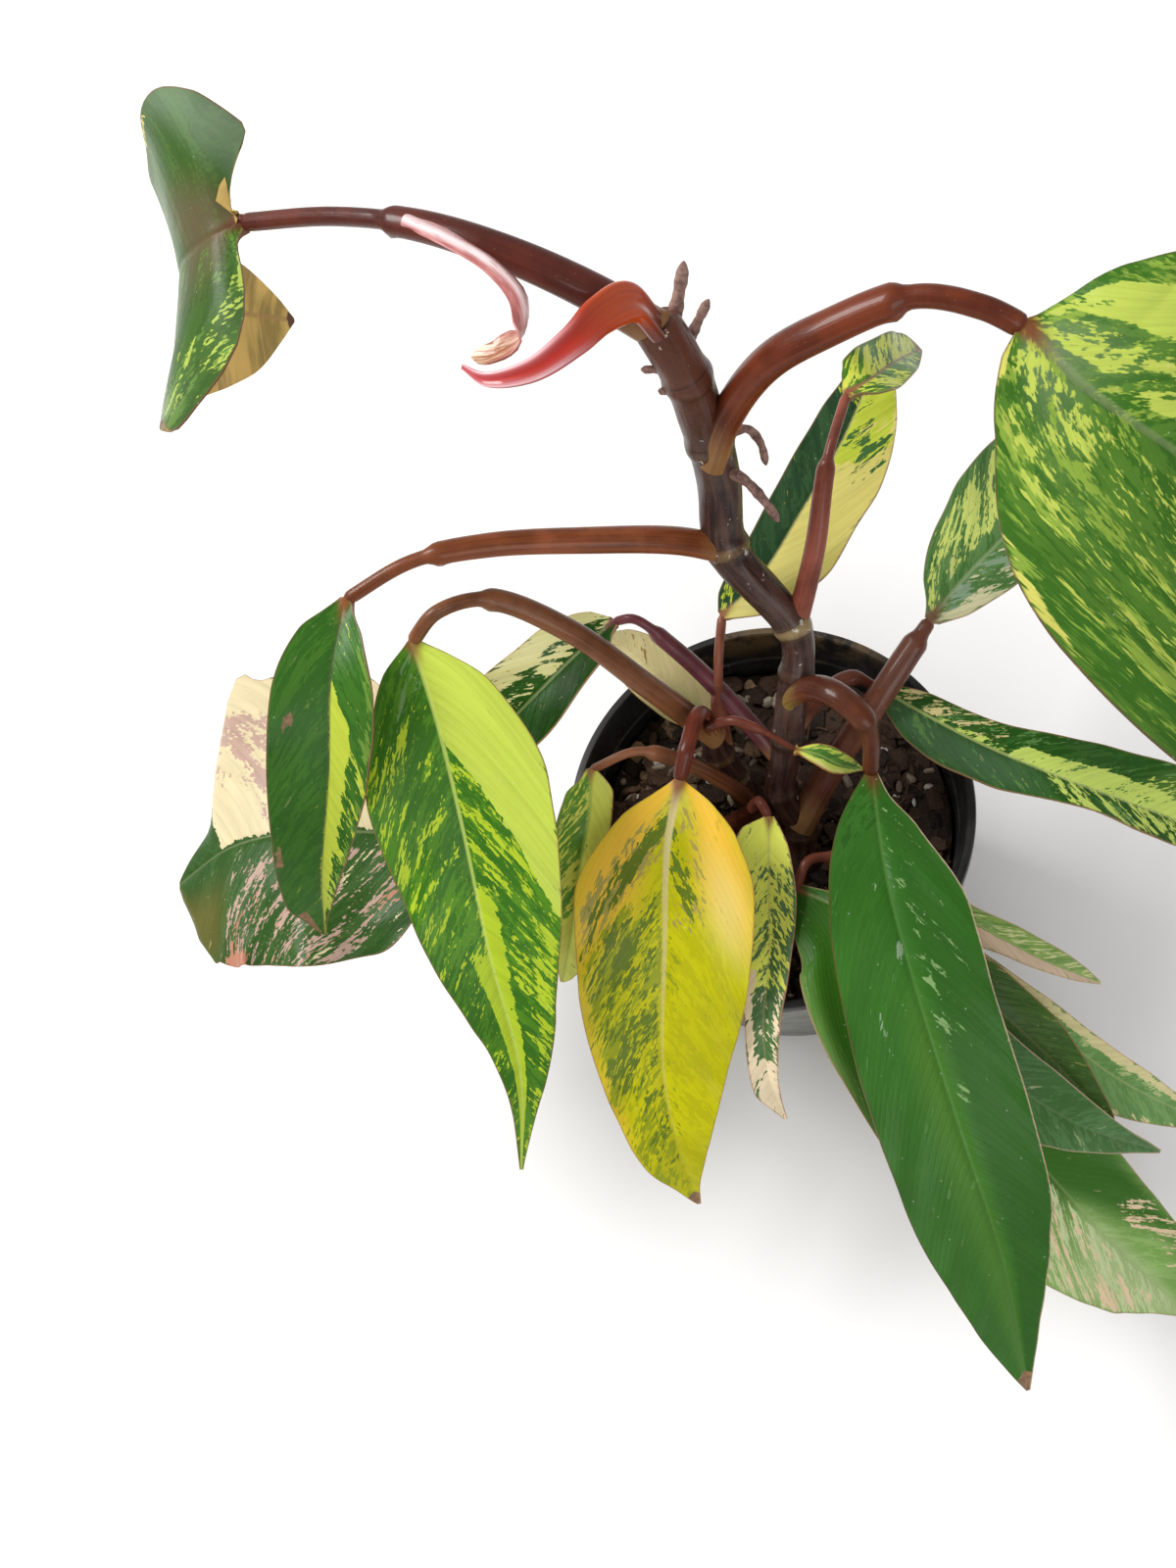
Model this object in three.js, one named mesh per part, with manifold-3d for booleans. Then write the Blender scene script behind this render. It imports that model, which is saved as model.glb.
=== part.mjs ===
// A potted caramel apple philodendron: a nursery pot of soil, three stems, and a stalk and a blade to each
// leaf. Lengths are in millimetres and angles in degrees. +Z is up, and the origin is the centre of the
// underside of the pot.

import * as THREE from 'three';
import { mergeVertices } from 'three/addons/utils/BufferGeometryUtils.js';
import Module from 'manifold-3d';

const wasm = await Module();
wasm.setup();

// Pot
const POT_HEIGHT = 104;
const RIM_RADIUS = 60;
const BASE_RADIUS = 49;
const WALL = 1.6;
const FLOOR = 2.5;
const LIP_DEPTH = 5;
const LIP_PROUD = 1.2;
const POT_SIDES = 40;
const DRAIN_HOLES = 6;
const DRAIN_RADIUS = 4;
const DRAIN_CIRCLE = 34;

// Soil
const SOIL_TOP = 84;
const SOIL_BUMP = 1.6;
const SOIL_RINGS = 4;
const SOIL_CHIPS = 20;
const CHIP_SPREAD = 0.86;
const CHIP_LIFT = 0.6;
const CHIP_SEED = 20;
const CHIP_SIZE = 6;

// Stems, with low rings at their nodes
const STEM_SIDES = 10;
const RING_HEIGHT = 0.7;
const RING_REACH = 2.2;

// Clearance between two pieces that touch on the real plant
const GAP = 0.3;

// Stalks: how far each stops short of its blade, the length that a step of its tube covers, the share of its
// width that a sheath loses on the way to its ligule, and the sheath's height and groove as shares of its width
const STALK_TRIM = 1.1;
const STALK_STEP = 8;
const STALK_SIDES = 8;
const SHEATH_NARROWING = 0.25;
const SHEATH_HEIGHT = 0.85;
const SHEATH_GROOVE = 0.45;

// Blades
const BLADE_THICKNESS = 0.8;
const BASE_HALF_WIDTH = 1.6;
const TIP_HALF_WIDTH = 0.5;
const LOBE_START = 0.08;
const STATIONS = [0.04, 0.1, 0.25, 0.45, 0.65, 0.85, 0.95];

// Each stem: its route from under the soil to its tip, its radius on the way, and where its nodes ring it
const STEMS = {
  main_stem: {
    route: [
      [9, -18, 40], [10, -16, 66], [9, -13, 84], [9, -3, 97], [5, 4, 110], [8, 10, 124], [11, 19, 138],
      [14, 32, 153], [-1, 47, 175], [-1, 57, 193], [-2, 61, 209], [-4, 64, 226], [-9, 69, 240],
    ],
    radii: [3.6, 4.4, 4.4, 5.6, 5.6],
    nodes: [0.25, 0.33, 0.42, 0.51, 0.57, 0.7, 0.84, 0.93],
    steps: 38,
    colour: 0x4a2f30,
  },
  side_stem: {
    route: [
      [-2, 4, 46], [-2, 5, 70], [-2, 5, 84], [-6, 8, 93], [-10, 12, 105], [-13, 16, 119], [-13, 17, 127],
    ],
    radii: [3.2, 4, 4.4, 4.2, 3.4],
    nodes: [0.55, 0.7, 0.84],
    steps: 18,
    colour: 0x6b3a28,
  },
  front_stem: {
    route: [[33, -15, 46], [33, -15, 70], [32, -16, 84], [32, -17, 92], [33, -18, 102]],
    radii: [3, 3.6, 4, 3.8, 3],
    nodes: [0.72, 0.88],
    steps: 12,
    colour: 0x5c3226,
  },
};

// Short roots grown from the main stem into the air: route and radius
const AIR_ROOTS = [
  { route: [[-7, 66, 229], [-5, 71, 237], [-3, 74, 243], [-1, 78, 248]], radius: 1.9 },
  { route: [[-5, 65, 226], [-2, 71, 231], [1, 74, 235], [3, 76, 237]], radius: 1.5 },
  { route: [[-4, 65, 226], [-10, 64, 230], [-14, 64, 231]], radius: 1.2 },
  { route: [[-4, 64, 222], [-8, 62, 224], [-11, 62, 225]], radius: 1.1 },
  { route: [[-1, 58, 198], [6, 53, 197], [10, 50, 192], [13, 47, 186]], radius: 1.5 },
  { route: [[-1, 60, 204], [7, 64, 203], [10, 63, 199], [11, 60, 192]], radius: 1.3 },
];

// Each leaf: the stalk's route ends where the blade's rib starts. side gives the direction of the blade's
// right half, seen with the leaf hanging and its face to the viewer, at its base and at its tip. left and
// right are the half widths at STATIONS. lift folds the halves up from the rib and curl bends them on, at
// base, middle and tip. wave is the margin's height, its number of waves and where they start. lobe is how
// far the margins reach back past the base, left and right. rows and columns divide the blade.
const LEAVES = [
  {
    name: 'top_left', stem: 'main_stem', rows: 14, columns: 6, colour: 0x3f7a35,
    stalk: {
      route: [
        [-8, 68, 238], [-22, 72, 250], [-38, 78, 258], [-58, 88, 260], [-81, 99, 256], [-108, 109, 249],
      ],
      sheath: 9.5, thin: 5.2, ligule: 0.6,
    },
    rib: [
      [-108, 109, 249], [-116, 106, 249], [-129, 109, 240], [-139, 118, 219], [-137, 128, 199],
      [-125, 134, 185],
    ],
    side: [[0, -0.9, -0.35], [0, -0.9, -0.35]],
    left: [20, 31, 38, 31, 24, 16, 7], right: [8, 29, 48, 36, 26, 17, 7],
    lift: [10, 5, 5], curl: [10, 10, 10], wave: [0.8, 2, 0], lobe: [15, 0],
  },
  {
    name: 'top_right', stem: 'main_stem', rows: 14, columns: 6, colour: 0x4d8a34,
    stalk: {
      route: [
        [-1, 58, 201], [6, 60, 218], [16, 60, 233], [28, 59, 242], [47, 58, 250], [60, 53, 250],
        [68, 49, 247],
      ],
      sheath: 11, thin: 6, ligule: 0.72,
    },
    rib: [[68, 49, 247], [77, 34, 247], [90, 21, 244], [113, 9, 230], [143, 3, 201], [178, 0, 160]],
    side: [[0.3, 0.9, 0.1], [0.3, 0.9, 0.1]],
    left: [8, 18, 45, 57, 52, 36, 16], right: [22, 34, 46, 50, 44, 26, 10],
    lift: [8, 6, 6], curl: [0, -6, -6], wave: [1.2, 2.5, 0], lobe: [3, 3],
  },
  {
    name: 'left_green', stem: 'main_stem', rows: 13, columns: 6, colour: 0x2e6b2f,
    stalk: {
      route: [
        [0, 47, 174], [-13, 46, 184], [-34, 43, 194], [-58, 40, 202], [-77, 36, 205], [-95, 29, 202],
      ],
      sheath: 8.2, thin: 4.3, ligule: 0.76,
    },
    rib: [[-95, 29, 202], [-99, 10, 199], [-104, -11, 185], [-114, -31, 162], [-121, -41, 141]],
    side: [[1, 0, -0.1], [1, 0, -0.2]],
    left: [5, 10, 14.5, 15.5, 13, 10, 4], right: [3.5, 7.5, 12.5, 11, 7.5, 3.2, 1],
    lift: [16, 14, 8], curl: [0, 0, 0], wave: [0.6, 3, 0],
  },
  {
    name: 'lime', stem: 'side_stem', rows: 14, columns: 6, colour: 0x7fb52c,
    stalk: {
      route: [
        [-12, 16, 124], [-27, 20, 155], [-43, 27, 177], [-61, 31, 191], [-73, 26, 196], [-81, 21, 191],
      ],
      sheath: 8, thin: 4.6, ligule: 0.78,
    },
    rib: [
      [-81, 21, 191], [-76, 1, 183], [-73, -23, 168], [-71, -50, 149], [-69, -77, 123], [-76, -101, 93],
    ],
    side: [[1, 0.1, -0.1], [1, 0.1, -0.15]],
    left: [10, 15.5, 22.5, 18, 10, 3, 1.2], right: [8.5, 16.5, 25, 22, 13.5, 4.2, 1.6],
    lift: [8, 6, 8], curl: [0, 0, 0], wave: [0.8, 3, 0.3],
  },
  {
    name: 'yellow', stem: 'side_stem', rows: 14, columns: 6, colour: 0xd8c02a,
    stalk: {
      route: [[-12, 16, 125], [-14, 15, 144], [-17, 4, 148], [-20, -4, 143]],
      sheath: 5.6, thin: 5, ligule: 0.8,
    },
    rib: [
      [-20, -4, 143], [-24, -21, 141], [-27, -48, 131], [-31, -76, 112], [-30, -96, 94], [-27, -110, 76],
    ],
    side: [[1, 0, -0.1], [1, 0.1, -0.1]],
    left: [6.5, 14, 24.5, 23, 17, 11, 4], right: [10.5, 18, 24, 22.5, 17, 7.5, 2],
    lift: [6, 4, 6], curl: [0, 0, 0], wave: [0.6, 3, 0.1],
  },
  {
    name: 'front_green', stem: 'main_stem', rows: 14, columns: 6, colour: 0x2f7033,
    stalk: {
      route: [[11, 18, 134], [13, 19, 142], [19, 17, 149], [25, 12, 152], [31, 5, 149], [31, -3, 135]],
      sheath: 9, thin: 5.4, ligule: 0.68,
    },
    rib: [[31, -3, 135], [33, -36, 142], [38, -63, 137], [46, -95, 122], [55, -127, 98], [60, -159, 69]],
    side: [[1, 0.1, -0.15], [1, 0.25, -0.2]],
    left: [6, 11, 18, 21, 20, 12, 4.8], right: [3.8, 10, 18.5, 18.5, 17, 7.5, 2.8],
    lift: [10, 8, 6], curl: [0, 0, 0], wave: [0.8, 3, 0.5],
  },
  {
    name: 'mosaic', stem: 'side_stem', rows: 12, columns: 6, colour: 0xa9b06a,
    stalk: {
      route: [[-3, 4, 92], [-3, -2, 112], [0, -5, 124], [2, -9, 122]],
      sheath: 5, thin: 3.4, ligule: 0.6,
    },
    rib: [[2, -9, 122], [1, -27, 120], [0, -47, 119], [-3, -67, 113], [-3, -79, 103], [0, -88, 88]],
    side: [[1, 0, -0.1], [1, 0.1, 0.2]],
    left: [8, 10, 10.5, 9, 5, 5, 2], right: [3.5, 5.6, 7.6, 6, 4.5, 2.2, 0.9],
    lift: [10, 4, 10], curl: [0, 0, 0], wave: [0.8, 2, 0.2],
  },
  {
    name: 'low_left', stem: 'side_stem', rows: 10, columns: 4, colour: 0x9cb84a,
    stalk: {
      route: [[-5, 7, 92], [-12, 5, 118], [-20, 6, 131], [-32, 6, 142], [-45, 2, 141]],
      sheath: 6, thin: 3, ligule: 0.75,
    },
    rib: [[-45, 2, 141], [-46, -10, 139], [-51, -24, 130], [-57, -40, 115], [-63, -48, 99]],
    side: [[1, 0, 0], [1, 0, 0]],
    left: [3.2, 7, 8.7, 8.4, 6, 3.1, 1.3], right: [4.2, 6.7, 6.7, 6, 6.2, 5.4, 3],
    lift: [8, 6, 6], curl: [0, 0, 0], wave: [0.5, 2, 0],
  },
  {
    name: 'back_left', stem: 'main_stem', rows: 12, columns: 6, colour: 0x3b7440,
    stalk: {
      route: [[7, 8, 120], [-9, 25, 136], [-20, 33, 150], [-29, 38, 159], [-35, 39, 157]],
      sheath: 6.2, thin: 3.2, ligule: 0.8,
    },
    rib: [[-35, 39, 157], [-45, 30, 158], [-60, 19, 153], [-80, 8, 140], [-96, 1, 124]],
    side: [[0.7, -0.7, 0], [0.7, -0.7, 0]],
    left: [7, 10, 13.5, 14.3, 12, 6, 2.5], right: [3, 7, 9.5, 11.4, 11, 6, 2.5],
    lift: [8, 6, 6], curl: [0, 0, 0], wave: [0.8, 2, 0],
  },
  {
    name: 'pale_back', stem: 'side_stem', rows: 10, columns: 4, colour: 0xe2dba0,
    stalk: {
      route: [[-10, 13, 108], [-14, 19, 116], [-14, 22, 120]],
      sheath: 4, thin: 3, ligule: 0.6,
    },
    rib: [[-14, 22, 120], [-24, 32, 126], [-35, 43, 128], [-45, 54, 122]],
    side: [[0.7, 0.7, 0], [0.7, 0.7, 0]],
    left: [3, 6, 8.5, 9, 8, 5, 2], right: [3, 6, 8.5, 9, 8, 5, 2],
    lift: [6, 4, 4], curl: [0, 0, 0], wave: [0.5, 2, 0],
  },
  {
    name: 'back_yellow', stem: 'side_stem', rows: 12, columns: 6, colour: 0xc9c34e,
    stalk: {
      route: [[-11, 17, 112], [-10, 21, 130], [-8, 30, 145], [-6, 41, 150]],
      sheath: 6, thin: 3.2, ligule: 0.5,
    },
    rib: [[-6, 41, 150], [5, 50, 153], [18, 69, 155], [30, 90, 154], [45, 129, 146]],
    side: [[-0.8, 0.5, 0], [-0.8, 0.5, 0]],
    left: [5.2, 10, 16.5, 17, 13.5, 7, 3], right: [5.6, 7.7, 9.2, 10.3, 9.6, 6, 2.5],
    lift: [8, 6, 6], curl: [0, 0, 0], wave: [0.6, 2, 0],
  },
  {
    name: 'back_small', stem: 'main_stem', rows: 10, columns: 4, colour: 0x76a53a,
    stalk: {
      route: [[13, 31, 152], [21, 46, 172], [26, 63, 186], [32, 80, 189]],
      sheath: 7.4, thin: 3.2, ligule: 0.72,
    },
    rib: [[32, 80, 189], [37, 83, 189], [44, 95, 179], [54, 118, 154]],
    side: [[-0.4, 0.8, 0], [-0.4, 0.8, 0]],
    left: [2, 5.4, 6.7, 6, 5, 2.6, 1.4], right: [6, 8.3, 9, 8.5, 8, 6.8, 4],
    lift: [8, 6, 6], curl: [0, 0, 0], wave: [0.6, 2, 0],
  },
  {
    name: 'back_right', stem: 'main_stem', rows: 12, columns: 6, colour: 0x5f8f57,
    stalk: {
      route: [[9, -4, 98], [20, 8, 113], [35, 22, 129], [50, 39, 139]],
      sheath: 9.4, thin: 5, ligule: 0.92,
    },
    rib: [[50, 39, 139], [60, 48, 145], [73, 60, 147], [88, 80, 142], [103, 101, 132]],
    side: [[-0.6, 0.5, 0], [-0.6, 0.5, 0.1]],
    left: [4.6, 8, 12, 14, 13, 8, 3], right: [4, 9, 16, 20, 19, 10, 4],
    lift: [8, 6, 6], curl: [0, 0, 0], wave: [0.8, 2, 0],
  },
  {
    name: 'right_wavy', stem: 'main_stem', rows: 14, columns: 6, colour: 0x4b7c3c,
    stalk: {
      route: [[9, 13, 126], [18, 24, 127], [28, 30, 126], [35, 27, 123]],
      sheath: 6, thin: 3.6, ligule: 0.8,
    },
    rib: [
      [35, 27, 123], [49, 17, 122], [61, 9, 121], [81, -1, 117], [100, -7, 108], [130, -15, 90],
      [158, -22, 66],
    ],
    side: [[0.1, 1, 0], [0.1, 1, 0]],
    left: [5.5, 9.8, 13.2, 9.6, 7.4, 6, 3], right: [4, 6.3, 8, 14, 15, 8, 3],
    lift: [8, 6, 6], curl: [0, 0, 0], wave: [1.5, 3.5, 0.2],
  },
  {
    name: 'far_left', stem: 'side_stem', rows: 14, columns: 6, colour: 0x5d8052,
    stalk: {
      route: [[-3, 5, 88], [-18, -10, 110], [-42, -22, 117], [-62, -22, 123], [-84, -12, 133]],
      sheath: 7, thin: 4.2, ligule: 0.75,
    },
    rib: [[-84, -12, 133], [-110, -10, 136], [-134, -9, 138], [-156, -11, 134], [-175, -19, 127]],
    side: [[0, -1, 0], [0.33, -1.03, 0.12]],
    left: [8, 16, 40, 50, 52, 20, 6], right: [8, 20, 34, 42, 42, 34, 15],
    lift: [10, 6, 4], curl: [-10, -20, -20], wave: [3, 2.5, 0.1],
  },
  {
    name: 'tiny', stem: 'side_stem', rows: 8, columns: 4, colour: 0x8fb43c,
    stalk: {
      route: [[-13, 17, 125], [-11, 13, 139], [-5, 12, 144], [3, 9, 142], [11, 6, 134]],
      sheath: 3.6, thin: 2, ligule: 0.7,
    },
    rib: [[11, 6, 134], [17, 4, 134], [23, 2, 130], [29, 3, 123]],
    side: [[0.2, 1, 0], [0.2, 1, 0]],
    left: [0.8, 1.4, 2.8, 3.5, 2.4, 1.2, 0.7], right: [0.8, 1.5, 3.1, 4, 3.6, 1.9, 0.8],
    lift: [6, 6, 4], curl: [0, 0, 0], wave: [0, 1, 0],
  },
  {
    name: 'right_point', stem: 'front_stem', rows: 10, columns: 4, colour: 0x6c9638,
    stalk: {
      route: [[32, -16, 97], [36, -19, 111], [38, -25, 118], [38, -30, 117]],
      sheath: 4.6, thin: 2.8, ligule: 0.6,
    },
    rib: [[38, -30, 117], [57, -42, 115], [72, -48, 102], [91, -51, 78]],
    side: [[0.5, 0.8, 0], [0.5, 0.8, 0]],
    left: [3, 5, 5.6, 4, 3, 2, 1], right: [3.4, 4, 4, 5, 4.6, 2.8, 1.2],
    lift: [8, 6, 6], curl: [0, 0, 0], wave: [0.4, 2, 0],
  },
  {
    name: 'right_cream', stem: 'front_stem', rows: 12, columns: 4, colour: 0x7fa35c,
    stalk: {
      route: [[33, -19, 91], [38, -27, 103], [41, -35, 110], [41, -41, 111]],
      sheath: 4.8, thin: 3, ligule: 0.6,
    },
    rib: [[41, -41, 111], [66, -61, 103], [91, -78, 81], [122, -89, 48]],
    side: [[0.5, 0.8, 0], [0.5, 0.8, 0]],
    left: [5, 9, 13, 13.5, 9.5, 5, 2], right: [3, 5, 5.6, 6.4, 6.2, 3.6, 1.6],
    lift: [8, 6, 6], curl: [0, 0, 0], wave: [0.6, 2, 0],
  },
  {
    name: 'right_olive', stem: 'front_stem', rows: 10, columns: 4, colour: 0x3f6b33,
    stalk: {
      route: [[34, -18, 95], [34, -27, 110], [37, -39, 121], [41, -48, 122]],
      sheath: 4.6, thin: 2.8, ligule: 0.6,
    },
    rib: [[41, -48, 122], [57, -63, 117], [73, -77, 103], [89, -92, 83]],
    side: [[0.6, 0.6, 0], [0.6, 0.6, 0]],
    left: [4, 7, 9, 9, 7, 4, 2], right: [4, 7, 9, 9, 7, 4, 2],
    lift: [8, 6, 6], curl: [0, 0, 0], wave: [0.5, 2, 0],
  },
  {
    name: 'right_dark', stem: 'front_stem', rows: 12, columns: 4, colour: 0x2b5a3c,
    stalk: {
      route: [[33, -18, 98], [29, -28, 118], [30, -44, 130], [36, -55, 127]],
      sheath: 4.6, thin: 2.8, ligule: 0.6,
    },
    rib: [[36, -55, 127], [55, -79, 119], [75, -92, 103], [101, -98, 76]],
    side: [[0.6, 0.6, 0], [0.6, 0.6, 0]],
    left: [5, 9, 11.5, 11, 7.5, 3.4, 1.5], right: [4, 7, 9.6, 9.4, 7, 3, 1.4],
    lift: [8, 6, 6], curl: [0, 0, 0], wave: [0.5, 2, 0],
  },
  {
    name: 'under_front', stem: 'front_stem', rows: 14, columns: 6, colour: 0x6fa05a,
    stalk: {
      route: [[31, -20, 94], [22, -19, 110], [12, -21, 117], [8, -28, 114]],
      sheath: 5, thin: 3.4, ligule: 0.6,
    },
    rib: [[8, -28, 114], [24, -39, 117], [37, -63, 110], [61, -91, 82], [85, -116, 51], [113, -141, 18]],
    side: [[0.6, 0.6, 0], [0.7, 0.6, 0]],
    left: [14, 21, 27, 31, 26, 16, 5], right: [3, 5, 8, 12, 19, 17, 7],
    lift: [8, 6, 6], curl: [0, 0, 0], wave: [1, 3, 0.4],
  },
];

// The sheath of the next leaf, a red claw curled over the stem's tip: its route, its widths along the way,
// and its height and groove as shares of its width
const NEW_LEAF = {
  route: [
    [-8, 66, 242], [-12, 67, 250], [-18, 59, 257], [-23, 51, 260], [-32, 45, 260], [-42, 45, 259],
    [-48, 50, 258],
  ],
  widths: [9, 9.5, 8.5, 7, 5.5, 3.6, 1.2],
  height: 0.6,
  groove: 0.4,
};

// A strip of dry sheath that has peeled off the top left stalk and curled: a thin blade
const LOOSE_SHEATH = {
  rows: 14, columns: 4,
  rib: [
    [-59, 83, 268], [-47, 75, 267], [-39, 69, 265], [-34, 63, 261], [-35, 57, 257], [-41, 54, 256],
    [-47, 55, 255],
  ],
  side: [[0.4, -0.9, 0], [-0.6, -0.8, 0]],
  left: [1.8, 2.2, 2.2, 2, 2.2, 2.6, 1.8], right: [1.2, 1.6, 1.8, 2, 2.6, 2.6, 1.8],
  lift: [10, 20, 5], curl: [20, 30, 0], wave: [0, 1, 0],
};

// A point from its three coordinates
function point(coordinates) {
  return new THREE.Vector3(...coordinates);
}

// A smooth curve through points
function route(points) {
  return new THREE.CatmullRomCurve3(points.map(point), false, 'centripetal');
}

// The value at s of a smooth line through values placed at knots, without overshoot
function along(knots, values, s) {
  let i = 0;
  while (i < knots.length - 2 && s > knots[i + 1]) {
    i += 1;
  }
  const slope = (k) => (values[k + 1] - values[k]) / (knots[k + 1] - knots[k]);
  const tangent = (k) => {
    if (k === 0 || k === knots.length - 1) {
      return slope(Math.max(0, k - 1));
    }
    const product = slope(k - 1) * slope(k);
    return product > 0 ? (2 * product) / (slope(k - 1) + slope(k)) : 0;
  };
  const span = knots[i + 1] - knots[i];
  const u = (s - knots[i]) / span;
  return values[i] * (1 + 2 * u) * (1 - u) ** 2 + span * tangent(i) * u * (1 - u) ** 2
    + values[i + 1] * u * u * (3 - 2 * u) + span * tangent(i + 1) * u * u * (u - 1);
}

// The value at s of a line through evenly spaced values
function evenly(values, s) {
  return along(values.map((value, i) => i / (values.length - 1)), values, s);
}

// The same random numbers at every run, from 0 to 1
function seededRandom(seed) {
  let state = seed;
  return () => {
    state = (state * 16807) % 2147483647;
    return state / 2147483647;
  };
}

// A closed geometry from points and triangles, its faces turned outwards
function closedGeometry(points, triangles) {
  const volume = triangles.reduce((sum, [a, b, c]) => (
    sum + points[a].dot(new THREE.Vector3().crossVectors(points[b], points[c]))), 0);
  const turned = volume < 0 ? triangles.map(([a, b, c]) => [a, c, b]) : triangles;
  const geometry = new THREE.BufferGeometry();
  const positions = points.flatMap((p) => p.toArray());
  geometry.setAttribute('position', new THREE.Float32BufferAttribute(positions, 3));
  geometry.setIndex(turned.flat());
  geometry.computeVertexNormals();
  return geometry;
}

// A manifold solid from a closed geometry
function solid(geometry) {
  const bare = geometry.clone();
  bare.deleteAttribute('normal');
  bare.deleteAttribute('uv');
  const merged = mergeVertices(bare, 1e-4);
  const mesh = new wasm.Mesh({
    numProp: 3,
    vertProperties: new Float32Array(merged.attributes.position.array),
    triVerts: new Uint32Array(merged.index.array),
  });
  return new wasm.Manifold(mesh);
}

// A geometry from a manifold solid
function geometryOf(manifold) {
  const mesh = manifold.getMesh();
  const geometry = new THREE.BufferGeometry();
  geometry.setAttribute('position', new THREE.Float32BufferAttribute(Array.from(mesh.vertProperties), 3));
  geometry.setIndex(Array.from(mesh.triVerts));
  geometry.computeVertexNormals();
  return geometry;
}

// The largest body of a solid that a cut may have left with loose scraps
function mainBody(manifold) {
  return manifold.decompose().reduce((best, piece) => (piece.volume() > best.volume() ? piece : best));
}

// The directions along, to the right of and out of the face of a strip that runs on a curve
function frameAt(curve, s, rightHint) {
  const forward = curve.getTangentAt(s);
  const right = rightHint.clone().addScaledVector(forward, -rightHint.dot(forward)).normalize();
  const face = new THREE.Vector3().crossVectors(forward, right);
  return { centre: curve.getPointAt(s), forward, right, face };
}

// A closed tube on a curve. section(s) gives its half width, half height and the depth of the groove in its
// face, and its two ends reach past the curve's ends by overhang
function tube(curve, steps, sides, rightHint, section, overhang = 0) {
  const points = [];
  const triangles = [];
  const hubs = [];
  for (let i = 0; i <= steps; i += 1) {
    const s = i / steps;
    const { centre, forward, right, face } = frameAt(curve, s, rightHint);
    const { width, height, groove } = section(s);
    if (i === 0 || i === steps) {
      centre.addScaledVector(forward, i === 0 ? -overhang : overhang);
      hubs.push(centre.clone());
    }
    for (let k = 0; k < sides; k += 1) {
      const angle = (2 * Math.PI * k) / sides;
      const rise = height * Math.sin(angle) - groove * Math.max(0, Math.sin(angle)) ** 5;
      const sideways = width * Math.cos(angle);
      points.push(centre.clone().addScaledVector(right, sideways).addScaledVector(face, rise));
    }
  }
  for (let i = 0; i < steps; i += 1) {
    for (let k = 0; k < sides; k += 1) {
      const a = i * sides + k;
      const b = i * sides + ((k + 1) % sides);
      triangles.push([a, b, a + sides], [b, b + sides, a + sides]);
    }
  }
  for (const ring of [0, steps * sides]) {
    const hub = points.length;
    points.push(hubs[ring === 0 ? 0 : 1]);
    for (let k = 0; k < sides; k += 1) {
      const next = (k + 1) % sides;
      triangles.push(ring === 0 ? [hub, ring + next, ring + k] : [hub, ring + k, ring + next]);
    }
  }
  return closedGeometry(points, triangles);
}

// The half width of one side of a blade at s, from its values at STATIONS
function halfWidth(widths, s) {
  return along([0, ...STATIONS, 1], [BASE_HALF_WIDTH, ...widths, TIP_HALF_WIDTH], s);
}

// A point of a blade's middle surface: s runs from base to tip and t from the left margin, -1, to the right
// margin, 1. extra widens it and sets its base back
function bladePoint(leaf, curve, s, t, extra) {
  const hint = point(leaf.side[0]).lerp(point(leaf.side[1]), s);
  const { centre, forward, right, face } = frameAt(curve, s, hint);
  const reach = Math.abs(t);
  const out = (halfWidth(t < 0 ? leaf.left : leaf.right, s) + extra) * reach;
  const lobe = leaf.lobe ? leaf.lobe[t < 0 ? 0 : 1] * Math.min(1, LOBE_START + s / STATIONS[0]) : 0;
  const back = lobe * reach ** 2 * (1 - s) ** 4 + (s === 0 ? extra : 0);
  const angle = THREE.MathUtils.degToRad(evenly(leaf.lift, s) + (evenly(leaf.curl, s) * reach) / 2);
  const [height, count, start] = leaf.wave;
  const ends = Math.sin(Math.PI * Math.min(1, 1.15 * s)) ** 0.5;
  const wave = height * ends * reach ** 2 * Math.sin(2 * Math.PI * (count * s + start + (t < 0 ? 0.3 : 0)));
  return centre
    .addScaledVector(forward, -back)
    .addScaledVector(right, Math.sign(t) * out * Math.cos(angle))
    .addScaledVector(face, out * Math.sin(angle) + wave);
}

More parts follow.
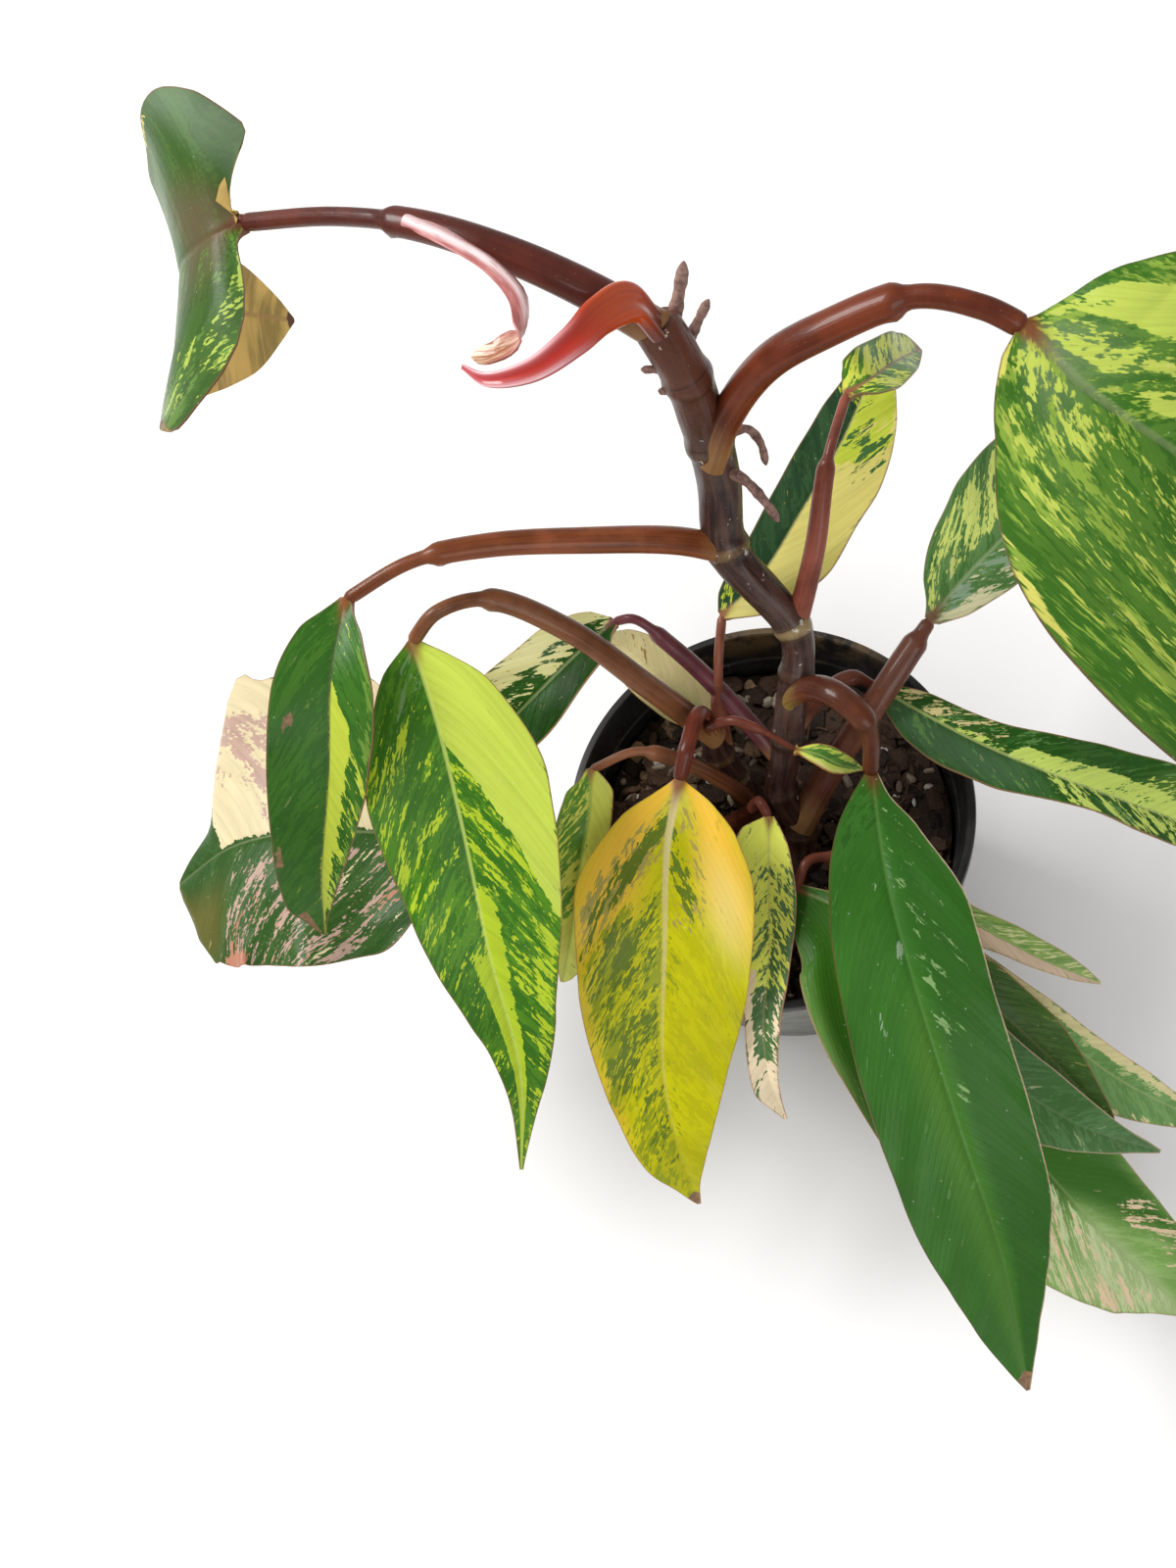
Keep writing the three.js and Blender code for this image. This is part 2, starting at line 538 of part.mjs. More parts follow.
// A waved blade of even thickness, both faces split into triangles alike. extra grows it all round
function bladeGeometry(leaf, extra) {
  const curve = route(leaf.rib);
  const { rows, columns } = leaf;
  const middle = [];
  for (let i = 0; i <= rows; i += 1) {
    const u = i / rows;
    const s = u - 0.06 * Math.sin(2 * Math.PI * u);
    middle.push(Array.from({ length: columns + 1 }, (_, k) => (
      bladePoint(leaf, curve, s, (2 * k) / columns - 1, extra))));
  }
  const points = [];
  for (const sign of [1, -1]) {
    for (let i = 0; i <= rows; i += 1) {
      for (let k = 0; k <= columns; k += 1) {
        const ahead = middle[Math.min(i + 1, rows)][k].clone().sub(middle[Math.max(i - 1, 0)][k]);
        const across = middle[i][Math.min(k + 1, columns)].clone().sub(middle[i][Math.max(k - 1, 0)]);
        const out = ahead.cross(across).normalize();
        points.push(middle[i][k].clone().addScaledVector(out, sign * (BLADE_THICKNESS / 2 + extra)));
      }
    }
  }
  const triangles = [];
  const stride = columns + 1;
  const under = (rows + 1) * stride;
  for (let i = 0; i < rows; i += 1) {
    for (let k = 0; k < columns; k += 1) {
      const a = i * stride + k;
      const corners = k < columns / 2
        ? [[a, a + 1, a + stride], [a + 1, a + stride + 1, a + stride]]
        : [[a, a + 1, a + stride + 1], [a, a + stride + 1, a + stride]];
      for (const [p, q, r] of corners) {
        triangles.push([p, q, r], [p + under, r + under, q + under]);
      }
    }
  }
  const count = (length, place) => Array.from({ length }, (_, i) => place(i));
  const margin = [
    ...count(columns, (k) => k),
    ...count(rows, (i) => i * stride + columns),
    ...count(columns, (k) => rows * stride + columns - k),
    ...count(rows, (i) => (rows - i) * stride),
  ];
  margin.forEach((a, i) => {
    const b = margin[(i + 1) % margin.length];
    triangles.push([a, a + under, b], [b, a + under, b + under]);
  });
  return closedGeometry(points, triangles);
}

// A stem's radius at s, with a low ring at each node
function stemRadius(stem, s, length) {
  const rings = stem.nodes.map((node) => (
    RING_HEIGHT * Math.exp(-1 * (((s - node) * length) / RING_REACH) ** 2)));
  return evenly(stem.radii, s) + Math.max(...rings);
}

// A stem, grown all round by extra
function stemGeometry(stem, extra) {
  const curve = route(stem.route);
  const length = curve.getLength();
  return tube(curve, stem.steps, STEM_SIDES, new THREE.Vector3(1, 0, 0), (s) => {
    const radius = stemRadius(stem, s, length) + extra;
    return { width: radius, height: radius, groove: 0 };
  }, extra);
}

// The roots that the main stem puts out into the air, joined to it
function withAirRoots(stem) {
  return AIR_ROOTS.reduce((body, root) => {
    const knobbly = (s) => root.radius * (1 - 0.3 * s) * (1 + 0.12 * Math.sin(20 * s));
    const geometry = tube(route(root.route), 5, 6, new THREE.Vector3(1, 0, 0.1), (s) => (
      { width: knobbly(s), height: knobbly(s), groove: 0 }));
    return body.add(solid(geometry));
  }, stem);
}

// A leaf stalk: a broad grooved sheath that ends in a blunt step, then a thin round part up to the blade.
// extra grows it all round
function stalkGeometry(leaf, extra) {
  const { sheath, thin, ligule } = leaf.stalk;
  const curve = route(leaf.stalk.route);
  const length = curve.getLength();
  const steps = Math.max(6, Math.round(length / STALK_STEP));
  const span = curve.getPointAt(1).sub(curve.getPointAt(0));
  const rightHint = span.cross(new THREE.Vector3(0, 0, 1)).normalize();
  const last = 1 - STALK_TRIM / length;
  const fine = 3 * steps;
  const places = Array.from({ length: fine + 1 }, (_, i) => curve.getPointAt((last * i) / fine));
  const trimmed = new THREE.CatmullRomCurve3(places, false, 'centripetal');
  return tube(trimmed, steps, STALK_SIDES, rightHint, (s) => {
    const step = THREE.MathUtils.smoothstep(s, ligule - 0.06, ligule + 0.04);
    const broad = sheath * (1 - SHEATH_NARROWING * (s / ligule));
    const width = THREE.MathUtils.lerp(broad, thin, step) / 2;
    const height = width * THREE.MathUtils.lerp(SHEATH_HEIGHT, 1, step);
    const groove = (1 - step) * width * SHEATH_GROOVE;
    return { width: width + extra, height: height + extra, groove };
  }, extra);
}

// The pot: a tapered wall with a rolled lip, and a floor with drain holes
function potGeometry() {
  const outer = (z) => BASE_RADIUS + ((RIM_RADIUS - LIP_PROUD - BASE_RADIUS) * z) / POT_HEIGHT;
  const profile = [
    [0, 0], [BASE_RADIUS - 1, 0], [BASE_RADIUS, 1],
    [outer(POT_HEIGHT - LIP_DEPTH), POT_HEIGHT - LIP_DEPTH],
    [RIM_RADIUS, POT_HEIGHT - LIP_DEPTH + 0.6], [RIM_RADIUS, POT_HEIGHT - 0.6],
    [RIM_RADIUS - 0.6, POT_HEIGHT], [outer(POT_HEIGHT) - WALL + 0.4, POT_HEIGHT],
    [outer(POT_HEIGHT) - WALL, POT_HEIGHT - 1], [outer(FLOOR) - WALL, FLOOR], [0, FLOOR],
  ];
  const lathe = new THREE.LatheGeometry(profile.map(([r, z]) => new THREE.Vector2(r, z)), POT_SIDES);
  lathe.rotateX(Math.PI / 2);
  let pot = solid(lathe);
  for (let i = 0; i < DRAIN_HOLES; i += 1) {
    const angle = (2 * Math.PI * (i + 0.5)) / DRAIN_HOLES;
    const drill = new THREE.CylinderGeometry(DRAIN_RADIUS, DRAIN_RADIUS, 4 * FLOOR, 12);
    drill.rotateX(Math.PI / 2);
    drill.translate(DRAIN_CIRCLE * Math.cos(angle), DRAIN_CIRCLE * Math.sin(angle), 0);
    pot = pot.subtract(solid(drill));
  }
  return geometryOf(pot);
}

// The height of the soil's uneven surface
function soilHeight(x, y) {
  const swell = Math.sin(0.13 * x + 1) * Math.cos(0.17 * y);
  return SOIL_TOP + SOIL_BUMP * (swell + 0.5 * Math.sin(0.31 * x + 0.23 * y));
}

// The soil, shaped by the pot, with chips of bark sunk in its surface and a plain hole for each stem
function soilGeometry(stems) {
  const inner = (z) => BASE_RADIUS + ((RIM_RADIUS - LIP_PROUD - BASE_RADIUS) * z) / POT_HEIGHT - WALL - GAP;
  const bottom = FLOOR + GAP;
  const points = [new THREE.Vector3(0, 0, bottom)];
  const ring = (radius, height) => {
    for (let k = 0; k < POT_SIDES; k += 1) {
      const x = radius * Math.cos((2 * Math.PI * k) / POT_SIDES);
      const y = radius * Math.sin((2 * Math.PI * k) / POT_SIDES);
      points.push(new THREE.Vector3(x, y, height(x, y)));
    }
  };
  const cover = SOIL_TOP - 2 * SOIL_BUMP;
  ring(inner(bottom), () => bottom);
  ring(inner(cover), () => cover);
  for (let i = SOIL_RINGS - 1; i > 0; i -= 1) {
    ring((inner(cover) * i) / SOIL_RINGS, soilHeight);
  }
  points.push(new THREE.Vector3(0, 0, soilHeight(0, 0)));
  const triangles = [];
  for (let k = 0; k < POT_SIDES; k += 1) {
    const next = (k + 1) % POT_SIDES;
    triangles.push([0, 1 + next, 1 + k]);
    for (let i = 0; i < SOIL_RINGS; i += 1) {
      const low = 1 + i * POT_SIDES;
      const high = low + POT_SIDES;
      triangles.push([low + k, low + next, high + k], [low + next, high + next, high + k]);
    }
    const last = 1 + SOIL_RINGS * POT_SIDES;
    triangles.push([last + k, last + next, points.length - 1]);
  }
  let soil = solid(closedGeometry(points, triangles));
  const random = seededRandom(CHIP_SEED);
  for (let i = 0; i < SOIL_CHIPS; i += 1) {
    const radius = CHIP_SPREAD * inner(cover) * Math.sqrt(random());
    const angle = 2 * Math.PI * random();
    const x = radius * Math.cos(angle);
    const y = radius * Math.sin(angle);
    const chip = new THREE.OctahedronGeometry(CHIP_SIZE * (0.5 + 0.5 * random()));
    chip.scale(1, 0.5 + 0.4 * random(), 0.5);
    chip.rotateZ(Math.PI * random());
    chip.translate(x, y, soilHeight(x, y) + CHIP_LIFT);
    soil = soil.add(solid(chip));
  }
  for (const stem of stems) {
    soil = soil.subtract(solid(stemGeometry(stem, GAP)));
  }
  return geometryOf(mainBody(soil));
}

// A named mesh with a plain material
function part(name, geometry, colour, roughness) {
  const material = new THREE.MeshStandardMaterial({ color: colour, roughness, metalness: 0 });
  const mesh = new THREE.Mesh(geometry, material);
  mesh.name = name;
  return mesh;
}

// The new leaf's sheath, hollowed on its face and tapering to a point
function newLeafGeometry() {
  return tube(route(NEW_LEAF.route), 16, 8, new THREE.Vector3(0.3, -0.8, -0.4), (s) => {
    const width = evenly(NEW_LEAF.widths, s) / 2;
    return { width, height: width * NEW_LEAF.height, groove: width * NEW_LEAF.groove };
  });
}

// A solid cut clear of the grown shapes of what it touches
function clearOf(geometry, shapes) {
  return mainBody(shapes.reduce((body, shape) => body.subtract(solid(shape)), solid(geometry)));
}

const plant = new THREE.Group();
plant.add(part('pot', potGeometry(), 0x26272a, 0.45));
plant.add(part('soil', soilGeometry(Object.values(STEMS)), 0x3a2a20, 0.95));
for (const [name, stem] of Object.entries(STEMS)) {
  const body = solid(stemGeometry(stem, 0));
  plant.add(part(name, geometryOf(name === 'main_stem' ? withAirRoots(body) : body), stem.colour, 0.45));
}

// Each stalk is cut clear of the stems, of the stalks before it and of its own blade
const inTheWay = Object.values(STEMS).map((stem) => stemGeometry(stem, GAP));
for (const leaf of LEAVES) {
  const ownBlade = bladeGeometry(leaf, GAP);
  const stalk = clearOf(stalkGeometry(leaf, 0), [...inTheWay, ownBlade]);
  inTheWay.push(stalkGeometry(leaf, GAP));
  plant.add(part(`stalk_${leaf.name}`, geometryOf(stalk), 0x7a3420, 0.35));
  plant.add(part(`blade_${leaf.name}`, bladeGeometry(leaf, 0), leaf.colour, 0.4));
}
plant.add(part('new_leaf_sheath', geometryOf(clearOf(newLeafGeometry(), inTheWay)), 0xa02a1c, 0.3));
plant.add(part('loose_sheath', bladeGeometry(LOOSE_SHEATH, 0), 0xd9a8a0, 0.35));

export default plant;
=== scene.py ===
# The looks of a potted variegated philodendron: leaves, stalks, stems, soil, pot, light and camera.
# Lengths in the tables are millimetres in the part's own frame; colours are linear red, green, blue.
import math
import bmesh
import bpy
import numpy as np
from mathutils import Matrix, Vector


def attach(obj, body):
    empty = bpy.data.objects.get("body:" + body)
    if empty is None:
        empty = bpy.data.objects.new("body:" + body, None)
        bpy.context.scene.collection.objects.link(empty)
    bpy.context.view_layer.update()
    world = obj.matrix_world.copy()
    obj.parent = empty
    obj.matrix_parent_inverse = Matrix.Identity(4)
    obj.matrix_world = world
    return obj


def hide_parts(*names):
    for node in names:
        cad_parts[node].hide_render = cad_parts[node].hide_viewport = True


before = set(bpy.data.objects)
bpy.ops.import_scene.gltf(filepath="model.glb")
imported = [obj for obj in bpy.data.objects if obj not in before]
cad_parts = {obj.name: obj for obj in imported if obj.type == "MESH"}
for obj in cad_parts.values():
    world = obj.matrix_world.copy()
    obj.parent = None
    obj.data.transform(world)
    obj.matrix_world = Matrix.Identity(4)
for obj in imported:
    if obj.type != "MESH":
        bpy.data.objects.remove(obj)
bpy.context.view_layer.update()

MM = 0.001
ROUND = 2 * math.pi

# Camera of the picture: place, axes and focal length on a 36 mm tall sensor
CAMERA_PLACE = (29.79, -136.60, 489.11)
CAMERA_RIGHT = (0.9771, 0, -0.2126)
CAMERA_UP = (0.0751, 0.9356, 0.345)
CAMERA_BACK = (0.1989, -0.3531, 0.9142)
FOCAL_LENGTH = 31.5
SENSOR_HEIGHT = 36

# Surroundings, in metres
SKY_STRENGTH = 0.5
LIGHT_AIM = (0, 0, 0.15)
GROUND_REACH = 3.0
GROUND_LEVEL = -0.0002

# Pot and soil
POT_HEIGHT = 104
RIM_RADIUS = 60
BASE_RADIUS = 49
WALL = 1.6
POT_FLOOR = 2.5
LIP_DEPTH = 5
LIP_PROUD = 1.2
FOOT_INNER = 40
FOOT_RISE = 1.2
SEAM_HEIGHT = 14
SEAM_DEPTH = 0.35
LEDGE_HEIGHT = 90
LEDGE_DEPTH = 0.5
POT_SEGMENTS = 144
DRAIN_HOLES = 6
DRAIN_RADIUS = 4
DRAIN_CIRCLE = 34
SOIL_TOP = 84
SOIL_BUMP = 1.6
SOIL_EDGE = 80.8
SOIL_RINGS = 56
SOIL_SEGMENTS = 150
SOIL_WAVES = 40
SOIL_ROUGH = 0.28
CRUMB = 0.35
GAP = 0.3
EDGE_START = 50
EDGE_SINK = 0.2
LUMP_KINDS = 8
LUMP_TILT = 0.35
LUMP_SUNK = 0.2
THINNING_START = -10
THINNING_WIDTH = 30
FIBRE_STEPS = 5

# Blades
STATIONS = (0.04, 0.1, 0.25, 0.45, 0.65, 0.85, 0.95)
BASE_HALF_WIDTH = 1.6
TIP_HALF_WIDTH = 0.5
LOBE_START = 0.08
BLADE_THICKNESS = 0.5
BLADE_STEP = 1.3
FEWEST_ROWS = 24
FEWEST_COLUMNS = 8
WAVE_GROWTH = 1.15
WAVE_SHIFT = 0.3
VEIN_LEAN = 1.0
VEIN_CURVE = 0.7
VEIN_SPACING = 9
VEIN_WIDTH = 1.2
VEIN_DEPTH = 0.02
VEIN_START = 2
VEIN_FADE = 4
SWELL = 0.35
SWELL_START = 12
SWELL_WAVES = ((170, 60), (310, -120))
RIB_GROOVE = 0.35
RIB_WIDTH = 1.1
RIB_GROOVE_START = 10
KEEL = 0.5
KEEL_LENGTH = 14
KEEL_SHARE = 0.38
KEEL_WIDTH = 0.3
JOINT_HEIGHT = 0.3
JOINT_LENGTH = 5
JOINT_WIDTH = 0.4
PATCH_LEAN = 0.35
PATCH_CURVE = 0.5
PATCH_BLUR = (0.02, 0.07)
WASH_BLUR = (0.14, 0.45)
BLUSH = 1.2
BLUSH_WIDTH = 0.5

# Stalks and stems. The ligule is where a sheath ends, the hood its raised lip there. PETIOLE_SHARE draws
# the thin part above it narrower than the solid's.
STALK_STEP = 1.2
STALK_SIDES = 28
STALK_END = 1.5
STALK_END_TAPER = 0.45
SHEATH_NARROWING = 0.25
SHEATH_HEIGHT = 0.85
SHEATH_GROOVE = 0.75
LIGULE_STEP = 4
COLLAR_HEIGHT = 0.3
COLLAR_LENGTH = 1.5
HOOD_HEIGHT = 0.8
HOOD_LENGTH = 1.8
HOOD_BACK = 1
PETIOLE_SHARE = 0.84
STEM_STEP = 0.9
STEM_SIDES = 40
RING_HEIGHT = 0.7
RING_REACH = 2.2
ROOT_TIP = 0.88

STEMS = {
    "main_stem": {
        "route": (
            (9, -18, 40), (10, -16, 66), (9, -13, 84), (9, -3, 97), (5, 4, 110), (8, 10, 124),
            (11, 19, 138), (14, 32, 153), (-1, 47, 175), (-1, 57, 193), (-2, 61, 209), (-4, 64, 226),
            (-9, 69, 240),
        ),
        "radii": (3.6, 4.4, 4.4, 5.6, 5.6),
        "nodes": (0.25, 0.33, 0.42, 0.51, 0.57, 0.7, 0.84, 0.93),
        "pale": (0.3, 0.3, 0.3, 0.35, 0.95, 0.85, 0.35, 0.2),
    },
    "side_stem": {
        "route": (
            (-2, 4, 46), (-2, 5, 70), (-2, 5, 84), (-6, 8, 93), (-10, 12, 105), (-13, 16, 119),
            (-13, 17, 127),
        ),
        "radii": (3.2, 4, 4.4, 4.2, 3.4),
        "nodes": (0.55, 0.7, 0.84),
        "pale": (0.4, 0.6, 0.6),
    },
    "front_stem": {
        "route": ((33, -15, 46), (33, -15, 70), (32, -16, 84), (32, -17, 92), (33, -18, 102)),
        "radii": (3, 3.6, 4, 3.8, 3),
        "nodes": (0.72, 0.88),
        "pale": (0.5, 0.5),
    },
}

# Short roots grown from the main stem into the air: route and radius
AIR_ROOTS = (
    (((-7, 66, 229), (-5, 71, 237), (-3, 74, 243), (-1, 78, 248)), 1.9),
    (((-5, 65, 226), (-2, 71, 231), (1, 74, 235), (3, 76, 237)), 1.5),
    (((-4, 65, 226), (-10, 64, 230), (-14, 64, 231)), 1.2),
    (((-4, 64, 222), (-8, 62, 224), (-11, 62, 225)), 1.1),
    (((-1, 58, 198), (6, 53, 197), (10, 50, 192), (13, 47, 186)), 1.5),
    (((-1, 60, 204), (7, 64, 203), (10, 63, 199), (11, 60, 192)), 1.3),
)

NEW_LEAF = {
    "route": (
        (-8, 66, 242), (-12, 67, 250), (-18, 59, 257), (-23, 51, 260), (-32, 45, 260), (-42, 45, 259),
        (-48, 50, 258),
    ),
    "widths": (9, 9.5, 8.5, 7, 5.5, 3.6, 1.2),
    "height": 0.6,
    "groove": 0.4,
}

# A strip of dry sheath that has peeled off and curled
LOOSE_SHEATH = {
    "rib": (
        (-59, 83, 268), (-47, 75, 267), (-39, 69, 265), (-34, 63, 261), (-35, 57, 257), (-41, 54, 256),
        (-47, 55, 255),
    ),
    "side": ((0.4, -0.9, 0), (-0.6, -0.8, 0)),
    "left": (1.6, 2.4, 2.6, 2.6, 3, 3.4, 2.4), "right": (1.4, 1.8, 2, 2.4, 3.2, 3.6, 2.6),
    "lift": (10, 20, 5), "curl": (20, 30, 0), "wave": (0, 1, 0),
}

# What a blade has where its own entry gives none
PLAIN_LEAF = {"lift": (8, 6, 6), "curl": (0, 0, 0), "lobe": (0, 0), "bulges": (), "notches": ()}

